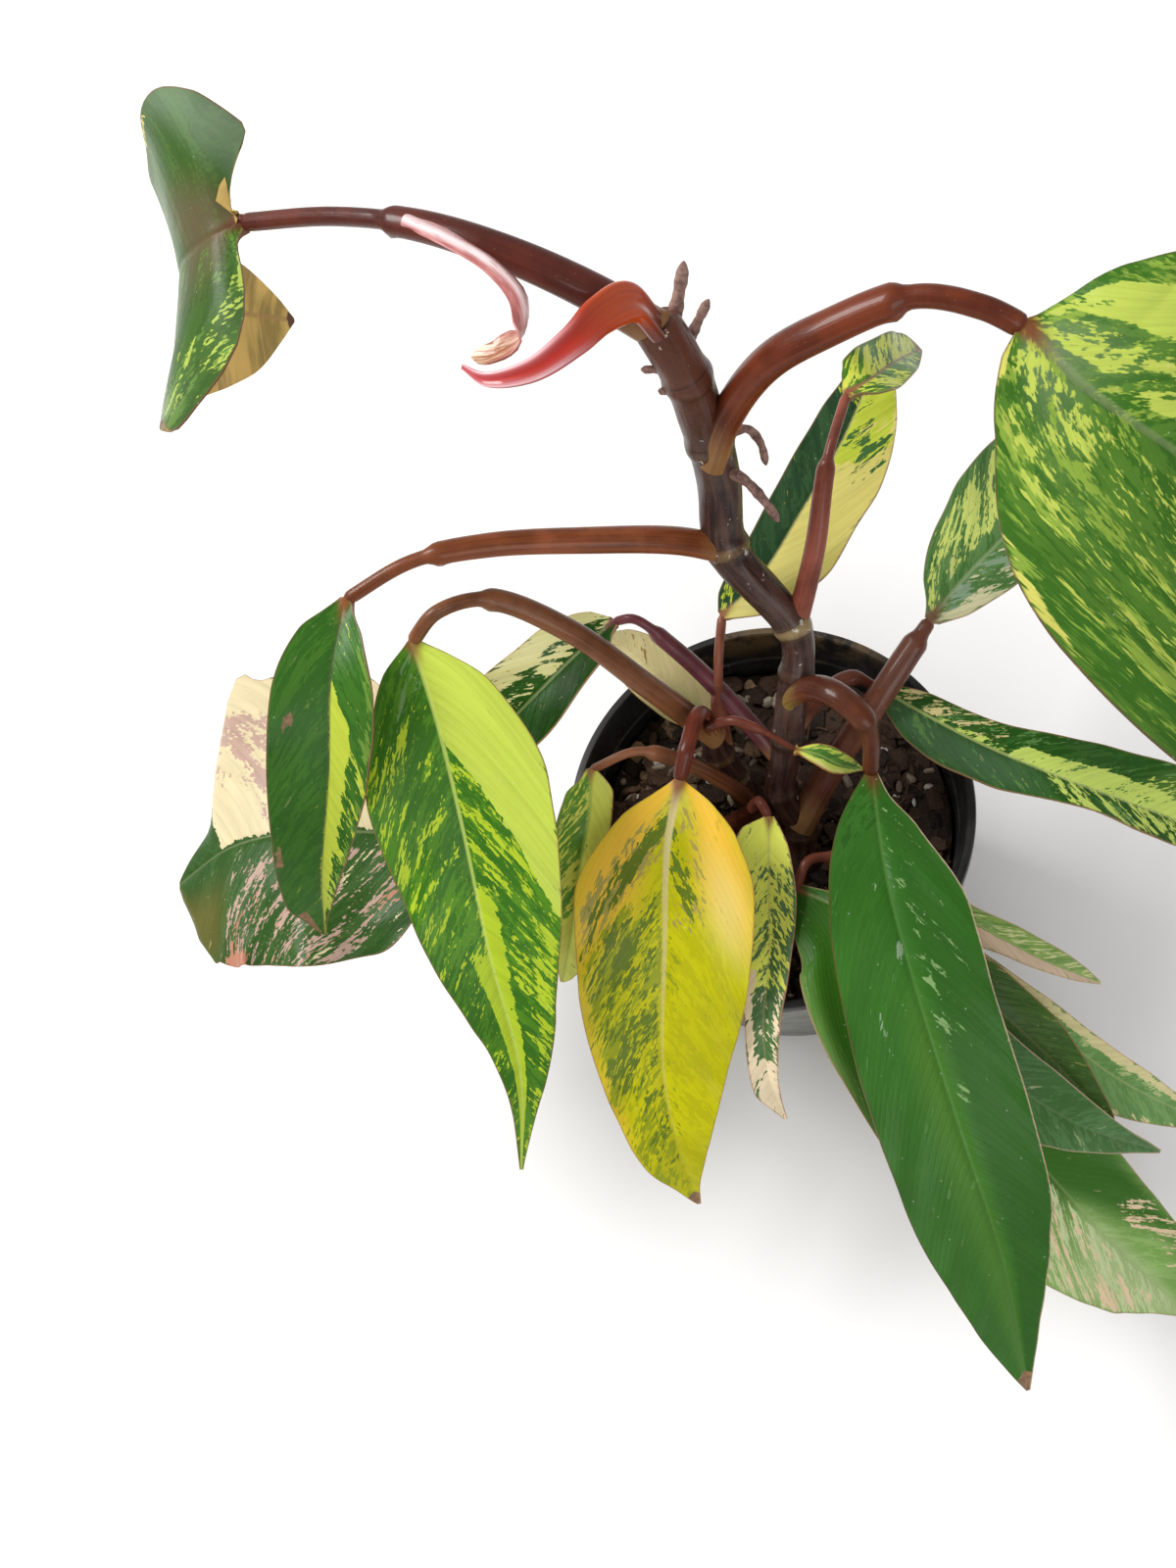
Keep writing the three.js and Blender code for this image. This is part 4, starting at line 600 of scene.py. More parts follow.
            ((0.2, 0.34, 0.06), (0.55, 1, 0, 1, 0.6)),
        ),
        "tints": ((0.5, 0.62, 0.13), (0.66, 0.57, 0.26), (0.1, 0.22, 0.06)),
        "patches": (
            (2, -0.4, 0.24, 0.2, 1, 0.36), (2, -0.4, 0.12, 0.1, 1, 0.52),
            (1, 0.12, 0.26, 0.02, 0.3, 0.5), (1, 0.27, 0.82, 0, 0.5, 0.86), (1, 0.5, 1.1, 0.42, 1, 0.42),
            (1, 0.34, 1.1, -1, 0, 0.44), (2, 0, 0.25, 0.88, 1, 0.5), (3, -0.2, 1, -1, 1, 0.2),
        ),
        "rib": ((0.4, 0.48, 0.16), 0.5, 0.3), "margin": (0.3, 0.17, 0.08),
        "stalk": ((0.19, 0.06, 0.034), (0.15, 0.045, 0.025)),
    },
    "right_point": {
        "slot": "leaf_green", "ground": ((0.15, 0.28, 0.06), (0.24, 0.38, 0.09)),
        "lean": ((2.2, 0.6), (2.2, 0.6)), "shorter": 0.7,
        "tints": ((0.55, 0.58, 0.26), (0.62, 0.46, 0.32), (0.2, 0.3, 0.1)),
        "patches": ((1, -0.3, 1.2, 0.1, 1, 0.42), (2, -0.3, 1.2, -1, -0.08, 0.8)),
        "rib": ((0.35, 0.42, 0.16), 0.4, 0.2), "margin": (0.5, 0.3, 0.2),
    },
    "right_cream": {
        "slot": "leaf_mosaic", "ground": ((0.13, 0.28, 0.075), (0.19, 0.36, 0.11)),
        "tints": ((0.66, 0.6, 0.3), (0.4, 0.5, 0.2), (0.25, 0.36, 0.15)),
        "patches": (
            (1, -0.3, 1.2, 0.55, 1, 0.95), (2, -0.3, 1.2, 0.2, 0.6, 0.3), (1, 0, 1, -1, -0.8, 0.4),
        ),
        "rib": ((0.35, 0.42, 0.16), 0.5, 0.2), "margin": (0.5, 0.28, 0.2),
    },
    "right_olive": {
        "slot": "leaf_dark_green", "ground": ((0.038, 0.095, 0.013), (0.058, 0.13, 0.02)),
        "tints": ((0.2, 0.25, 0.06), (0.3, 0.25, 0.1), (0.1, 0.2, 0.1)),
        "patches": ((1, -0.3, 1.2, 0.2, 1, 0.12), (2, 0, 1.2, 0.85, 1, 0.5)),
        "rib": ((0.12, 0.14, 0.05), 0.5, 0.2), "margin": (0.3, 0.14, 0.08),
    },
    "right_dark": {
        "slot": "leaf_dark_green", "ground": ((0.05, 0.14, 0.032), (0.08, 0.195, 0.058)),
        "tints": ((0.28, 0.35, 0.16), (0.38, 0.3, 0.08), (0.12, 0.22, 0.1)),
        "patches": (
            (1, -0.3, 1.2, -1, 0.6, 0.1), (2, 0.92, 1.2, -1, 1, 0.3), (3, 0.4, 1, -1, 0.2, 0.14),
        ),
        "rib": ((0.12, 0.2, 0.08), 0.5, 0.2), "margin": (0.5, 0.34, 0.24),
    },
    "under_front": {
        "slot": "leaf_mosaic", "ground": ((0.19, 0.36, 0.08), (0.27, 0.45, 0.13)),
        "lean": ((2, 0.6), (1.2, 0.6)), "shorter": 0.8,
        "washes": (
            ((0.035, 0.13, 0.01), (-0.5, (0.5, 0.86), -1, 1, 1)),
            ((0.46, 0.54, 0.28), (0.72, 1.1, -0.9, 0.1, 0.6)),
        ),
        "tints": ((0.5, 0.6, 0.3), (0.74, 0.56, 0.36), (0.08, 0.2, 0.025)),
        "patches": (
            (1, 0.56, 0.95, -1, -0.05, 0.5), (2, 0.52, 0.9, -0.98, -0.3, 0.42),
            (2, 0.6, 0.8, -0.5, -0.1, 0.36), (2, 0.7, 0.95, 0.4, 1, 0.34),
        ),
        "rib": ((0.34, 0.42, 0.16), 0.5, 0.3), "rib_share": (0.4, 0.2), "margin": (0.38, 0.22, 0.13),
    },
    "far_left": {
        "slot": "leaf_mosaic", "ground": ((0.028, 0.082, 0.014), (0.044, 0.11, 0.022)),
        "lean": ((0.35, 0.2), (0.6, 0.4)), "shorter": 0.5,
        "washes": (((0.16, 0.12, 0.03), (0.75, 1.1, 0.3, 1, 0.6)),),
        "tints": ((0.66, 0.57, 0.35), (0.46, 0.31, 0.25), (0.46, 0.2, 0.13)),
        "patches": (
            (1, -0.5, (0.72, 0.8), -1, -0.03, 1.3), (1, -0.3, 0.3, 0.05, 1, 0.22),
            (2, (0.34, 0.4), (0.6, 0.62), -0.95, -0.08, 0.5),
            (2, (0.42, 0.44), (0.54, 0.54), -0.7, -0.25, 0.6), (2, 0.05, 0.72, 0.12, 1, 0.37),
            (3, 0.3, 0.75, 0.3, 1, 0.22), (3, 0.5, 0.7, 0.9, 1, 0.9), (3, -0.3, 0.2, 0.2, 1, 0.2),
        ),
        "rib": ((0.16, 0.2, 0.09), 0.5, 0.3), "margin": (0.26, 0.12, 0.07),
        "scars": ((0.3, 0.34, -1, -0.93, 0.7),),
    },
    "tiny": {
        "slot": "leaf_lime", "ground": ((0.06, 0.17, 0.03), (0.1, 0.24, 0.04)),
        "tints": ((0.5, 0.6, 0.09), (0.6, 0.6, 0.2), (0.2, 0.3, 0.1)),
        "patches": (
            (1, -0.5, 1.2, -1, -0.3, 0.8), (1, -0.5, 1.2, 0.35, 1, 0.75), (2, 0.1, 0.6, -1, -0.6, 0.6),
        ),
        "rib": ((0.3, 0.4, 0.1), 0.4, 0.2), "margin": (0.4, 0.14, 0.06),
        "stalk": ((0.2, 0.05, 0.025), (0.15, 0.035, 0.02)),
    },
}

# Colours of the skins
SCAR = ((0.08, 0.035, 0.018), (0.40, 0.25, 0.13))
UNDER_SCAR = (0.13, 0.06, 0.03)
SPECK = (0.6, 0.62, 0.5)
# Pale sheath edges along a stalk's top: partly their own colour, partly a painted highlight
SHEATH_WING_AND_HIGHLIGHT = (0.48, 0.17, 0.12)
SHEATH_CLASP = (0.30, 0.16, 0.06)
STALK_LINE = (0.035, 0.010, 0.006)
STALK_FLECK = (0.5, 0.33, 0.2)
CLAW_FOOT = (0.13, 0.030, 0.016)
CLAW_ORANGE = (0.48, 0.060, 0.005)
CLAW_RED = (0.40, 0.016, 0.008)
CLAW_TIP = (0.52, 0.07, 0.09)
CLAW_LINE = (0.20, 0.012, 0.008)
CLAW_SHADE = (0.16, 0.010, 0.008)
# The pink-white streak along the new leaf's upper side: a painted highlight
CLAW_PAINTED_HIGHLIGHT = (0.90, 0.58, 0.62)
STEM_PURPLE = ((0.022, 0.010, 0.009), (0.080, 0.034, 0.025))
# The stem's grey patches: partly a bloom, partly painted sheen
STEM_BLOOM_AND_SHEEN = (0.12, 0.075, 0.055)
STEM_TOP = (0.12, 0.032, 0.014)
STEM_TAN = ((0.16, 0.085, 0.035), (0.34, 0.24, 0.11))
STEM_SEAM = (0.03, 0.012, 0.008)
STEM_FLAKE = (0.6, 0.56, 0.5)
ROOT_PINK = ((0.12, 0.055, 0.045), (0.33, 0.19, 0.15))
ROOT_RING = (0.07, 0.035, 0.03)
POT_BLACK = (0.010, 0.011, 0.012)
POT_DUST = (0.045, 0.043, 0.038)
# The pot's grey outer wall, lightest at the front: partly wear, partly painted sheen
POT_WORN_AND_SHEEN = (0.14, 0.145, 0.125)
POT_DIRT = (0.16, 0.10, 0.06)
POT_STAIN = (0.20, 0.13, 0.055)
PEEL_PINK = ((0.40, 0.12, 0.11), (0.62, 0.28, 0.27))
PEEL_GLINT = (0.84, 0.70, 0.70)
PEEL_BROWN = ((0.34, 0.10, 0.035), (0.72, 0.52, 0.36))
SOIL_TONES = ((0.030, 0.019, 0.013), (0.085, 0.052, 0.032), (0.24, 0.16, 0.10))
BARK_TONES = ((0.014, 0.009, 0.007), (0.062, 0.034, 0.021), (0.34, 0.22, 0.13))
PUMICE_TONES = ((0.16, 0.12, 0.09), (0.36, 0.30, 0.23), (0.55, 0.49, 0.40))
PERLITE_TONES = ((0.45, 0.43, 0.40), (0.75, 0.74, 0.71), (0.9, 0.9, 0.88))
FIBRE_TONES = ((0.10, 0.055, 0.03), (0.22, 0.13, 0.07), (0.4, 0.28, 0.16))
PAPER = ((0.93, 0.93, 0.93), (0.95, 0.95, 0.95))

# Loose bits on the soil. sizes and flatness: from and to. lump: detail, roughness and boxiness.
# fewer: the share left out at the right.
BITS = {
    "bark_chips": {
        "skin": ("bark_chip", BARK_TONES, 0.75), "count": 900, "seed": 11, "sizes": (2, 9.5),
        "flatness": (0.14, 0.4), "lump": (2, 0.34, 0.6), "fewer": 0,
    },
    "pumice_bits": {
        "skin": ("pumice", PUMICE_TONES), "count": 200, "seed": 23, "sizes": (1.2, 5.5),
        "flatness": (0.5, 0.8), "lump": (2, 0.2, 0.85), "fewer": 0.8,
    },
    "perlite_bits": {
        "skin": ("perlite", PERLITE_TONES), "count": 190, "seed": 37, "sizes": (1, 4),
        "flatness": (0.6, 0.9), "lump": (2, 0.15, 0.9), "fewer": 0.7,
    },
}


# Curves and surfaces


def smooth(share):
    """A share from 0 to 1 with a soft start and end"""
    return share * share * (3 - 2 * share)


def bell(distance, spread):
    """1 at no distance, falling off over the spread"""
    return np.exp(-(distance / spread) ** 2)


def spline(points, t):
    """Points of a centripetal Catmull-Rom curve through points, at t from 0 to 1"""
    ends = (2 * points[0] - points[1], 2 * points[-1] - points[-2])
    p = np.vstack([ends[0], points, ends[1]])
    place = np.clip(t, 0, 1) * (len(points) - 1)
    i = np.minimum(place.astype(int), len(points) - 2)
    w = (place - i)[:, None]
    p0, p1, p2, p3 = p[i], p[i + 1], p[i + 2], p[i + 3]
    d0, d1, d2 = (np.linalg.norm(b - a, axis=1)[:, None] ** 0.5 for a, b in ((p0, p1), (p1, p2), (p2, p3)))
    start = ((p1 - p0) / d0 - (p2 - p0) / (d0 + d1) + (p2 - p1) / d1) * d1
    end = ((p2 - p1) / d1 - (p3 - p1) / (d1 + d2) + (p3 - p2) / d2) * d1
    square = -3 * p1 + 3 * p2 - 2 * start - end
    cube = 2 * p1 - 2 * p2 + start + end
    return p1 + w * (start + w * (square + w * cube))


class Route:
    """A smooth curve through points given in millimetres, walked by its length"""

    SAMPLES = 801
    NUDGE = 1e-4

    def __init__(self, points):
        self.points = np.array(points, float) * MM
        self.fine = np.linspace(0, 1, self.SAMPLES)
        steps = np.linalg.norm(np.diff(spline(self.points, self.fine), axis=0), axis=1)
        self.travel = np.concatenate([[0], np.cumsum(steps)])
        self.length = self.travel[-1]

    def at(self, s):
        """Centres and directions at the shares s of the length; outside 0 to 1 it runs straight on"""
        inside = np.clip(s, 0, 1)
        t = np.interp(inside * self.length, self.travel, self.fine)
        ahead = spline(self.points, t + self.NUDGE) - spline(self.points, t - self.NUDGE)
        forward = ahead / np.linalg.norm(ahead, axis=1)[:, None]
        beyond = ((s - inside) * self.length)[:, None]
        return spline(self.points, t) + forward * beyond, forward


def along(knots, values, s):
    """A smooth line through values at knots that never swings past them"""
    knots = np.array(knots, float)
    values = np.array(values, float)
    slopes = np.diff(values) / np.diff(knots)
    same = slopes[:-1] * slopes[1:] > 0
    total = np.where(same, slopes[:-1] + slopes[1:], 1)
    inner = np.where(same, 2 * slopes[:-1] * slopes[1:] / total, 0)
    tangents = np.concatenate([slopes[:1], inner, slopes[-1:]])
    i = np.clip(np.searchsorted(knots, s, side="right") - 1, 0, len(slopes) - 1)
    span = knots[i + 1] - knots[i]
    u = (s - knots[i]) / span
    rise = values[i] * (1 + 2 * u) * (1 - u) ** 2 + values[i + 1] * u * u * (3 - 2 * u)
    return rise + span * (tangents[i] * u * (1 - u) ** 2 + tangents[i + 1] * u * u * (u - 1))


def evenly(values, s):
    """A smooth line through evenly spaced values, at s from 0 to 1"""
    return along(np.linspace(0, 1, len(values)), values, s)


def frames(route, s, hints):
    """Centres, forward, right and face directions at s, right lying nearest to the hints"""
    centre, forward = route.at(s)
    right = hints - forward * np.sum(hints * forward, axis=1)[:, None]
    right = right / np.linalg.norm(right, axis=1)[:, None]
    return centre, forward, right, np.cross(forward, right)


def half_width(widths, s):
    """Half the width of one side of a blade at s, in metres"""
    return along((0, *STATIONS, 1), (BASE_HALF_WIDTH, *widths, TIP_HALF_WIDTH), s) * MM


def swellings(rows, s, t):
    """How far bulges or notches reach; each row gives a side of the blade, a place, a spread and a size"""
    sides = np.sign(t)
    return sum(size * MM * bell(s - place, spread) * (sides == side) for side, place, spread, size in rows)


def blade_surface(leaf, s, t):
    """The middle surface of a blade on a grid of s, base to tip, and t, left to right margin"""
    rib = Route(leaf["rib"])
    sides = np.array(leaf["side"], float)
    hints = sides[0] + (sides[1] - sides[0]) * s[:, None]
    centre, forward, right, face = (part[:, None, :] for part in frames(rib, s, hints))
    s = s[:, None]
    t = t[None, :]
    reach = np.abs(t)
    left_side = t < 0
    width = np.where(left_side, half_width(leaf["left"], s), half_width(leaf["right"], s))
    width = width + swellings(leaf["bulges"], s, t)
    out = width * reach
    lobe = np.where(left_side, *leaf["lobe"]) * np.minimum(1, LOBE_START + s / STATIONS[0])
    back = lobe * MM * reach ** 2 * (1 - s) ** 4 - swellings(leaf["notches"], s, t) * reach ** 2
    angle = np.radians(evenly(leaf["lift"], s) + evenly(leaf["curl"], s) * reach / 2)
    height, count, start = leaf["wave"]
    ends = np.sin(np.pi * np.minimum(1, WAVE_GROWTH * s)) ** 0.5
    turn = count * s + start + np.where(left_side, WAVE_SHIFT, 0)
    wave = height * MM * ends * reach ** 2 * np.sin(ROUND * turn)
    sideways = np.sign(t) * out * np.cos(angle)
    rise = out * np.sin(angle) + wave
    points = centre - forward * back[..., None] + right * sideways[..., None] + face * rise[..., None]
    return points, out, width, rib.length


# Meshes


def make(name, points, faces, skins, slots=None, uv=None, fields=None, crease=50):
    """A mesh object from points and faces; fields are numbers kept for each point"""
    mesh = bpy.data.meshes.new(name)
    mesh.from_pydata(np.asarray(points).tolist(), [], faces)
    for skin in skins:
        mesh.materials.append(skin)
    if slots is not None:
        mesh.polygons.foreach_set("material_index", slots)
    if uv is not None:
        corners = np.empty(len(mesh.loops), np.int32)
        mesh.loops.foreach_get("vertex_index", corners)
        mesh.uv_layers.new(name="vein").data.foreach_set("uv", np.asarray(uv, np.float32)[corners].ravel())
    for key, values in (fields or {}).items():
        data = mesh.attributes.new(key, "FLOAT", "POINT").data
        data.foreach_set("value", np.asarray(values, np.float32).ravel())
    mesh.shade_smooth()
    mesh.set_sharp_from_angle(angle=math.radians(crease))
    thing = bpy.data.objects.new(name, mesh)
    bpy.context.scene.collection.objects.link(thing)
    return thing


def circle(sides):
    """Angles evenly spaced around a turn"""
    return np.linspace(0, ROUND, sides, endpoint=False)


def closed(rings, first, last):
    """Points and faces of a closed body: rings joined in turn, and each end closed to a point"""
    sides = len(rings[0])
    faces = []
    for i in range(len(rings) - 1):
        for k in range(sides):
            a = i * sides + k
            b = i * sides + (k + 1) % sides
            faces.append((a, b, b + sides, a + sides))
    start = len(rings) * sides
    end = start - sides
    for k in range(sides):
        following = (k + 1) % sides
        faces.append((start, following, k))
        faces.append((start + 1, end + k, end + following))
    return np.vstack([*rings, [first], [last]]), faces


def tube(route, s, sides, hint, section):
    """A closed tube; section(s, turn) gives how far right and how far up each point is"""
    centre, forward, right, face = frames(route, s, np.tile(np.array(hint, float), (len(s), 1)))
    turn = circle(sides)
    sideways, rise = section(s[:, None], turn[None, :])
    rings = centre[:, None, :] + right[:, None, :] * sideways[..., None] + face[:, None, :] * rise[..., None]
    points, faces = closed(rings, centre[0], centre[-1])
    travel = np.repeat(s * route.length, sides)
    turns = np.tile(turn / ROUND, len(s))
    uv = np.vstack([np.stack([travel, turns], 1), [[s[0] * route.length, 0], [s[-1] * route.length, 0]]])
    return points, faces, uv


def merged(name, parts, skin):
    """One mesh from several sets of points, faces and UV"""
    points = np.vstack([part[0] for part in parts])
    uv = np.vstack([part[2] for part in parts])
    faces = []
    start = 0
    for part in parts:
        faces += [tuple(start + index for index in face) for face in part[1]]
        start += len(part[0])
    return make(name, points, faces, [skin], uv=uv)


# Leaves


def window(value, low, high, blur):
    """1 inside low to high, 0 outside, with soft ends"""
    rise = smooth(np.clip((value - low) / blur + 0.5, 0, 1))
    return rise * smooth(np.clip((high - value) / blur + 0.5, 0, 1))


def slanted(ends, share):
    """A limit along the blade: one number, or two for its two ends across the blade"""
    if isinstance(ends, tuple):
        return ends[0] + (ends[1] - ends[0]) * share
    return ends


def covering(patches, place, t, blur):
    """How much of a colour lies at each point of a blade, from its patches"""
    cover = np.zeros_like(place)
    for low, high, left, right, amount in patches:
        share = np.clip((t - left) / (right - left), 0, 1)
        inside = window(place, slanted(low, share), slanted(high, share), blur[0])
        inside = inside * window(t, left, right, blur[1])
        cover = cover + (amount - cover) * inside
    return cover


def blade_grid(leaf):
    """The shares along and across a blade at which its points lie, closer at its ends and at its rib"""
    rows = max(FEWEST_ROWS, round(Route(leaf["rib"]).length / MM / BLADE_STEP))
    half = max(FEWEST_COLUMNS, round(max(leaf["left"] + leaf["right"]) / BLADE_STEP))
    u = np.linspace(0, 1, rows + 1)
    x = np.linspace(-1, 1, 2 * half + 1)
    return u - 0.1 * np.sin(ROUND * u), x * (0.35 + 0.65 * np.abs(x))


def grid_faces(rows, columns, turn=False):
    """Faces of a grid of points, rows by columns of squares; turn faces them the other way"""
    stride = columns + 1
    low = (np.arange(rows)[:, None] * stride + np.arange(columns)[None, :]).ravel()
    corners = [low, low + stride, low + stride + 1, low + 1]
    if turn:
        corners.reverse()
    return np.stack(corners, 1).tolist()


def slab(top, under):
    """Points, faces and skin numbers of a thin body between its upper and its under sheet of points"""
    rows, columns = (size - 1 for size in top.shape[:2])
    stride = columns + 1
    count = (rows + 1) * stride
    faces = grid_faces(rows, columns)
    faces += (np.array(grid_faces(rows, columns, turn=True)) + count).tolist()
    margin = [*range(columns)]
    margin += [i * stride + columns for i in range(rows)]
    margin += [rows * stride + columns - k for k in range(columns)]
    margin += [(rows - i) * stride for i in range(rows)]
    faces += [(a, b, b + count, a + count) for a, b in zip(margin, margin[1:] + margin[:1])]
    slots = [0] * (rows * columns) + [1] * (rows * columns) + [0] * len(margin)
    return np.vstack([top.reshape(-1, 3), under.reshape(-1, 3)]), faces, slots


def square_to(sheet):
    """The direction square to a sheet of points, at each point"""
    normal = np.cross(np.gradient(sheet, axis=0), np.gradient(sheet, axis=1))
    return normal / np.maximum(np.linalg.norm(normal, axis=2, keepdims=True), 1e-12)


def blade(name, leaf, look, skins, seed, thin):
    """A blade with its rib, side veins and waves, and the fields that its skin reads"""
    s, t = blade_grid(leaf)
    middle, out, width, length = blade_surface(leaf, s, t)
    to_tip = 1 - s[:, None]
    travel = s[:, None] * length
    across = np.sign(t)[None, :] * out
    bend = out ** 2 / (max(leaf["left"] + leaf["right"]) * MM)
    lean, curve = (np.where(t < 0, *part)[None, :] for part in np.array(look["lean"]).T)
    vein = travel - lean * out - curve * bend
    normal = square_to(middle)
    phase = np.random.default_rng(seed).uniform(0, ROUND, 3)
    swell = sum(np.sin(vein * a + across * b + start) for (a, b), start in zip(SWELL_WAVES, phase))
    swell = swell * np.abs(t)[None, :] ** 1.5 * np.minimum(1, out / (SWELL_START * MM))
    middle = middle + normal * (SWELL * MM * swell)[..., None]
    nearest = np.abs((vein / (VEIN_SPACING * MM) + phase[2]) % 1 - 0.5) * VEIN_SPACING
    fade = np.clip((out / MM - VEIN_START) / VEIN_FADE, 0, 1) * np.clip((width - out) / MM / VEIN_FADE, 0, 1)
    grooves = -VEIN_DEPTH * bell(nearest, VEIN_WIDTH) * fade
    fading = np.exp(-travel / (KEEL_LENGTH * MM))
    joint = JOINT_HEIGHT * thin * np.exp(-travel / (JOINT_LENGTH * MM)) * bell(out, JOINT_WIDTH * thin * MM)
    rib_groove = RIB_GROOVE * bell(out, RIB_WIDTH * MM) * (np.exp(-travel / (RIB_GROOVE_START * MM)) - 1)
    keel = KEEL * to_tip + KEEL_SHARE * thin * fading
    keel = keel * bell(out, (RIB_WIDTH + KEEL_WIDTH * thin * fading) * MM)
    above = (BLADE_THICKNESS / 2 + grooves + joint + rib_groove) * MM
    below = (BLADE_THICKNESS / 2 - 0.5 * grooves + keel) * MM
    points, faces, slots = slab(middle + normal * above[..., None], middle - normal * below[..., None])
    place = (travel - PATCH_LEAN * out - PATCH_CURVE * bend) / length
    wide = np.broadcast_to(t[None, :], vein.shape)
    first_share, last_share = look["rib_share"]
    base_rib, tip_rib = look["rib"][1:]
    fields = {
        "edge": np.minimum(width - out, to_tip * length * 0.5 + 0.2 * MM),
        "blush": np.exp(-travel / (BLUSH * thin * MM)) * bell(out, BLUSH_WIDTH * thin * MM),
        "rib_share": np.broadcast_to(first_share + (last_share - first_share) * s[:, None], vein.shape),
        "rib": np.broadcast_to((tip_rib + (base_rib - tip_rib) * to_tip ** 2) * MM, vein.shape),
        "scar": covering(look["scars"], place, wide, PATCH_BLUR),
    }
    for number in (1, 2, 3):
        chosen = [patch[1:] for patch in look["patches"] if patch[0] == number]
        fields[f"tint_{number}"] = covering(chosen, place, wide, PATCH_BLUR)
    for number, wash in enumerate(look["washes"], 1):
        fields[f"wash_{number}"] = covering(wash[1:], place, wide, WASH_BLUR)
    doubled = {key: np.tile(values.ravel(), 2) for key, values in fields.items()}
    uv = np.tile(np.stack([vein.ravel(), across.ravel()], 1), (2, 1))
    return make(name, points, faces, skins, slots, uv, doubled)


def stalk(name, leaf, skin):
    """A leaf stalk: a broad grooved sheath that ends in a blunt step, then a thin round part to the blade"""
    route = Route(leaf["stalk"])
    length = route.length / MM
    hint = np.cross(route.points[-1] - route.points[0], (0, 0, 1))
    ligule = leaf["ligule"]
    s = np.linspace(0, 1 + STALK_END / length, max(FEWEST_ROWS, round(length / STALK_STEP)))

    def past_sheath(s):
        return np.clip((s - ligule) * length / LIGULE_STEP + 0.5, 0, 1)

    def section(s, turn):
        step = smooth(past_sheath(s))
        upward = np.sin(turn)
        broad = leaf["sheath"] * (1 - SHEATH_NARROWING * np.minimum(s / ligule, 1))
        end = 1 - STALK_END_TAPER * np.clip((s - 1) * length / STALK_END + 1, 0, 1) ** 2
        width = (broad + (PETIOLE_SHARE * leaf["thin"] - broad) * step) / 2 * end
        height = width * (SHEATH_HEIGHT + (1 - SHEATH_HEIGHT) * step)
        groove = (1 - step) * width * SHEATH_GROOVE * np.maximum(0, upward) ** 5
        collar = COLLAR_HEIGHT * bell((s - ligule) * length, COLLAR_LENGTH)
        hood = HOOD_HEIGHT * bell((s - ligule) * length + HOOD_BACK, HOOD_LENGTH)
        rise = (height + collar) * upward - groove + hood * np.clip(2 * upward, 0, 1)
        return (width + 0.6 * collar) * np.cos(turn) * MM, rise * MM

    points, faces, uv = tube(route, s, STALK_SIDES, hint, section)
    sheathed = 1 - past_sheath(uv[:, 0] / route.length)
    upward = np.sin(uv[:, 1] * ROUND)
    fields = {
        # the upper flanks: the sheath's pale edges, partly a painted highlight
        "wing_and_highlight": sheathed * bell(upward - 0.62, 0.14),
        # inner: the floor of the sheath's groove, which the skin darkens as painted shade
        "inner": sheathed * np.clip((upward - 0.8) / 0.15, 0, 1),
        # low: the underside, which the skin darkens as painted shade
        "low": np.clip(-upward, 0, 1),
        "clasp": np.clip(1.5 - uv[:, 0] / (leaf["sheath"] * MM), 0, 1),
    }
    return make(name, points, faces, [skin], uv=uv, fields=fields)


def new_leaf(skin):
    """The rolled new leaf in its red sheath, hollow on its face and tapering to a point"""
    route = Route(NEW_LEAF["route"])

    def section(s, turn):
        width = evenly(NEW_LEAF["widths"], s) / 2 * MM
        hollow = NEW_LEAF["groove"] * np.maximum(0, np.sin(turn)) ** 4
        return width * np.cos(turn), width * (NEW_LEAF["height"] * np.sin(turn) - hollow)

    points, faces, uv = tube(route, np.linspace(0, 1, 80), 36, (0.3, -0.8, -0.4), section)
    upward = np.sin(uv[:, 1] * ROUND)
    # the upper flanks carry a painted highlight, the low side painted shade
    fields = {"wing_and_highlight": bell(upward - 0.55, 0.22), "low": np.clip(-upward, 0, 1)}
    fields["place"] = uv[:, 0] / route.length
    return make("new_leaf", points, faces, [skin], uv=uv, fields=fields)


# Stems


def stem_radius(stem, s, length):
    """A stem's radius at s, with a low ring at each node, and how far each place is ring and pale ring"""
    rings = np.stack([bell((s - node) * length, RING_REACH * MM) for node in stem["nodes"]])
    pale = (rings.T * stem["pale"]).T.max(0)
    return (evenly(stem["radii"], s) + RING_HEIGHT * rings.max(0)) * MM, rings.max(0), pale


def stem_mesh(name, stem, skin):
    """A stem with the rings of its nodes"""
    route = Route(stem["route"])
    s = np.linspace(0, 1, max(30, round(route.length / MM / STEM_STEP)))

    def section(s, turn):
        uneven = 1 + 0.02 * np.sin(3 * turn + 40 * s) + 0.012 * np.sin(7 * turn - 90 * s)
        radius = stem_radius(stem, s, route.length)[0] * uneven
        return radius * np.cos(turn), radius * np.sin(turn)

    points, faces, uv = tube(route, s, STEM_SIDES, (1, 0, 0), section)
    ring, pale = stem_radius(stem, uv[:, 0] / route.length, route.length)[1:]
    return make(name, points, faces, [skin], uv=uv, fields={"ring": ring, "pale": pale})


def air_roots(skin):
    """The short knobbly roots that stand out of the main stem"""
    parts = []
    for path, radius in AIR_ROOTS:

        def section(s, turn, radius=radius):
            tip = np.sqrt(np.clip(1 - np.clip((s - ROOT_TIP) / (1 - ROOT_TIP), 0, 1) ** 2, 0.02, 1))
            knobs = 1 + 0.10 * np.sin(22 * s + radius) + 0.05 * np.sin(57 * s)
            knobs = knobs + 0.04 * np.sin(3 * turn + 9 * s)
            reach = radius * MM * (1 - 0.3 * s) * knobs * tip
            return reach * np.cos(turn), reach * np.sin(turn)

        parts.append(tube(Route(path), np.linspace(0, 1, 36), 16, (1, 0, 0.1), section))
    return merged("air_roots", parts, skin)


# Pot and soil


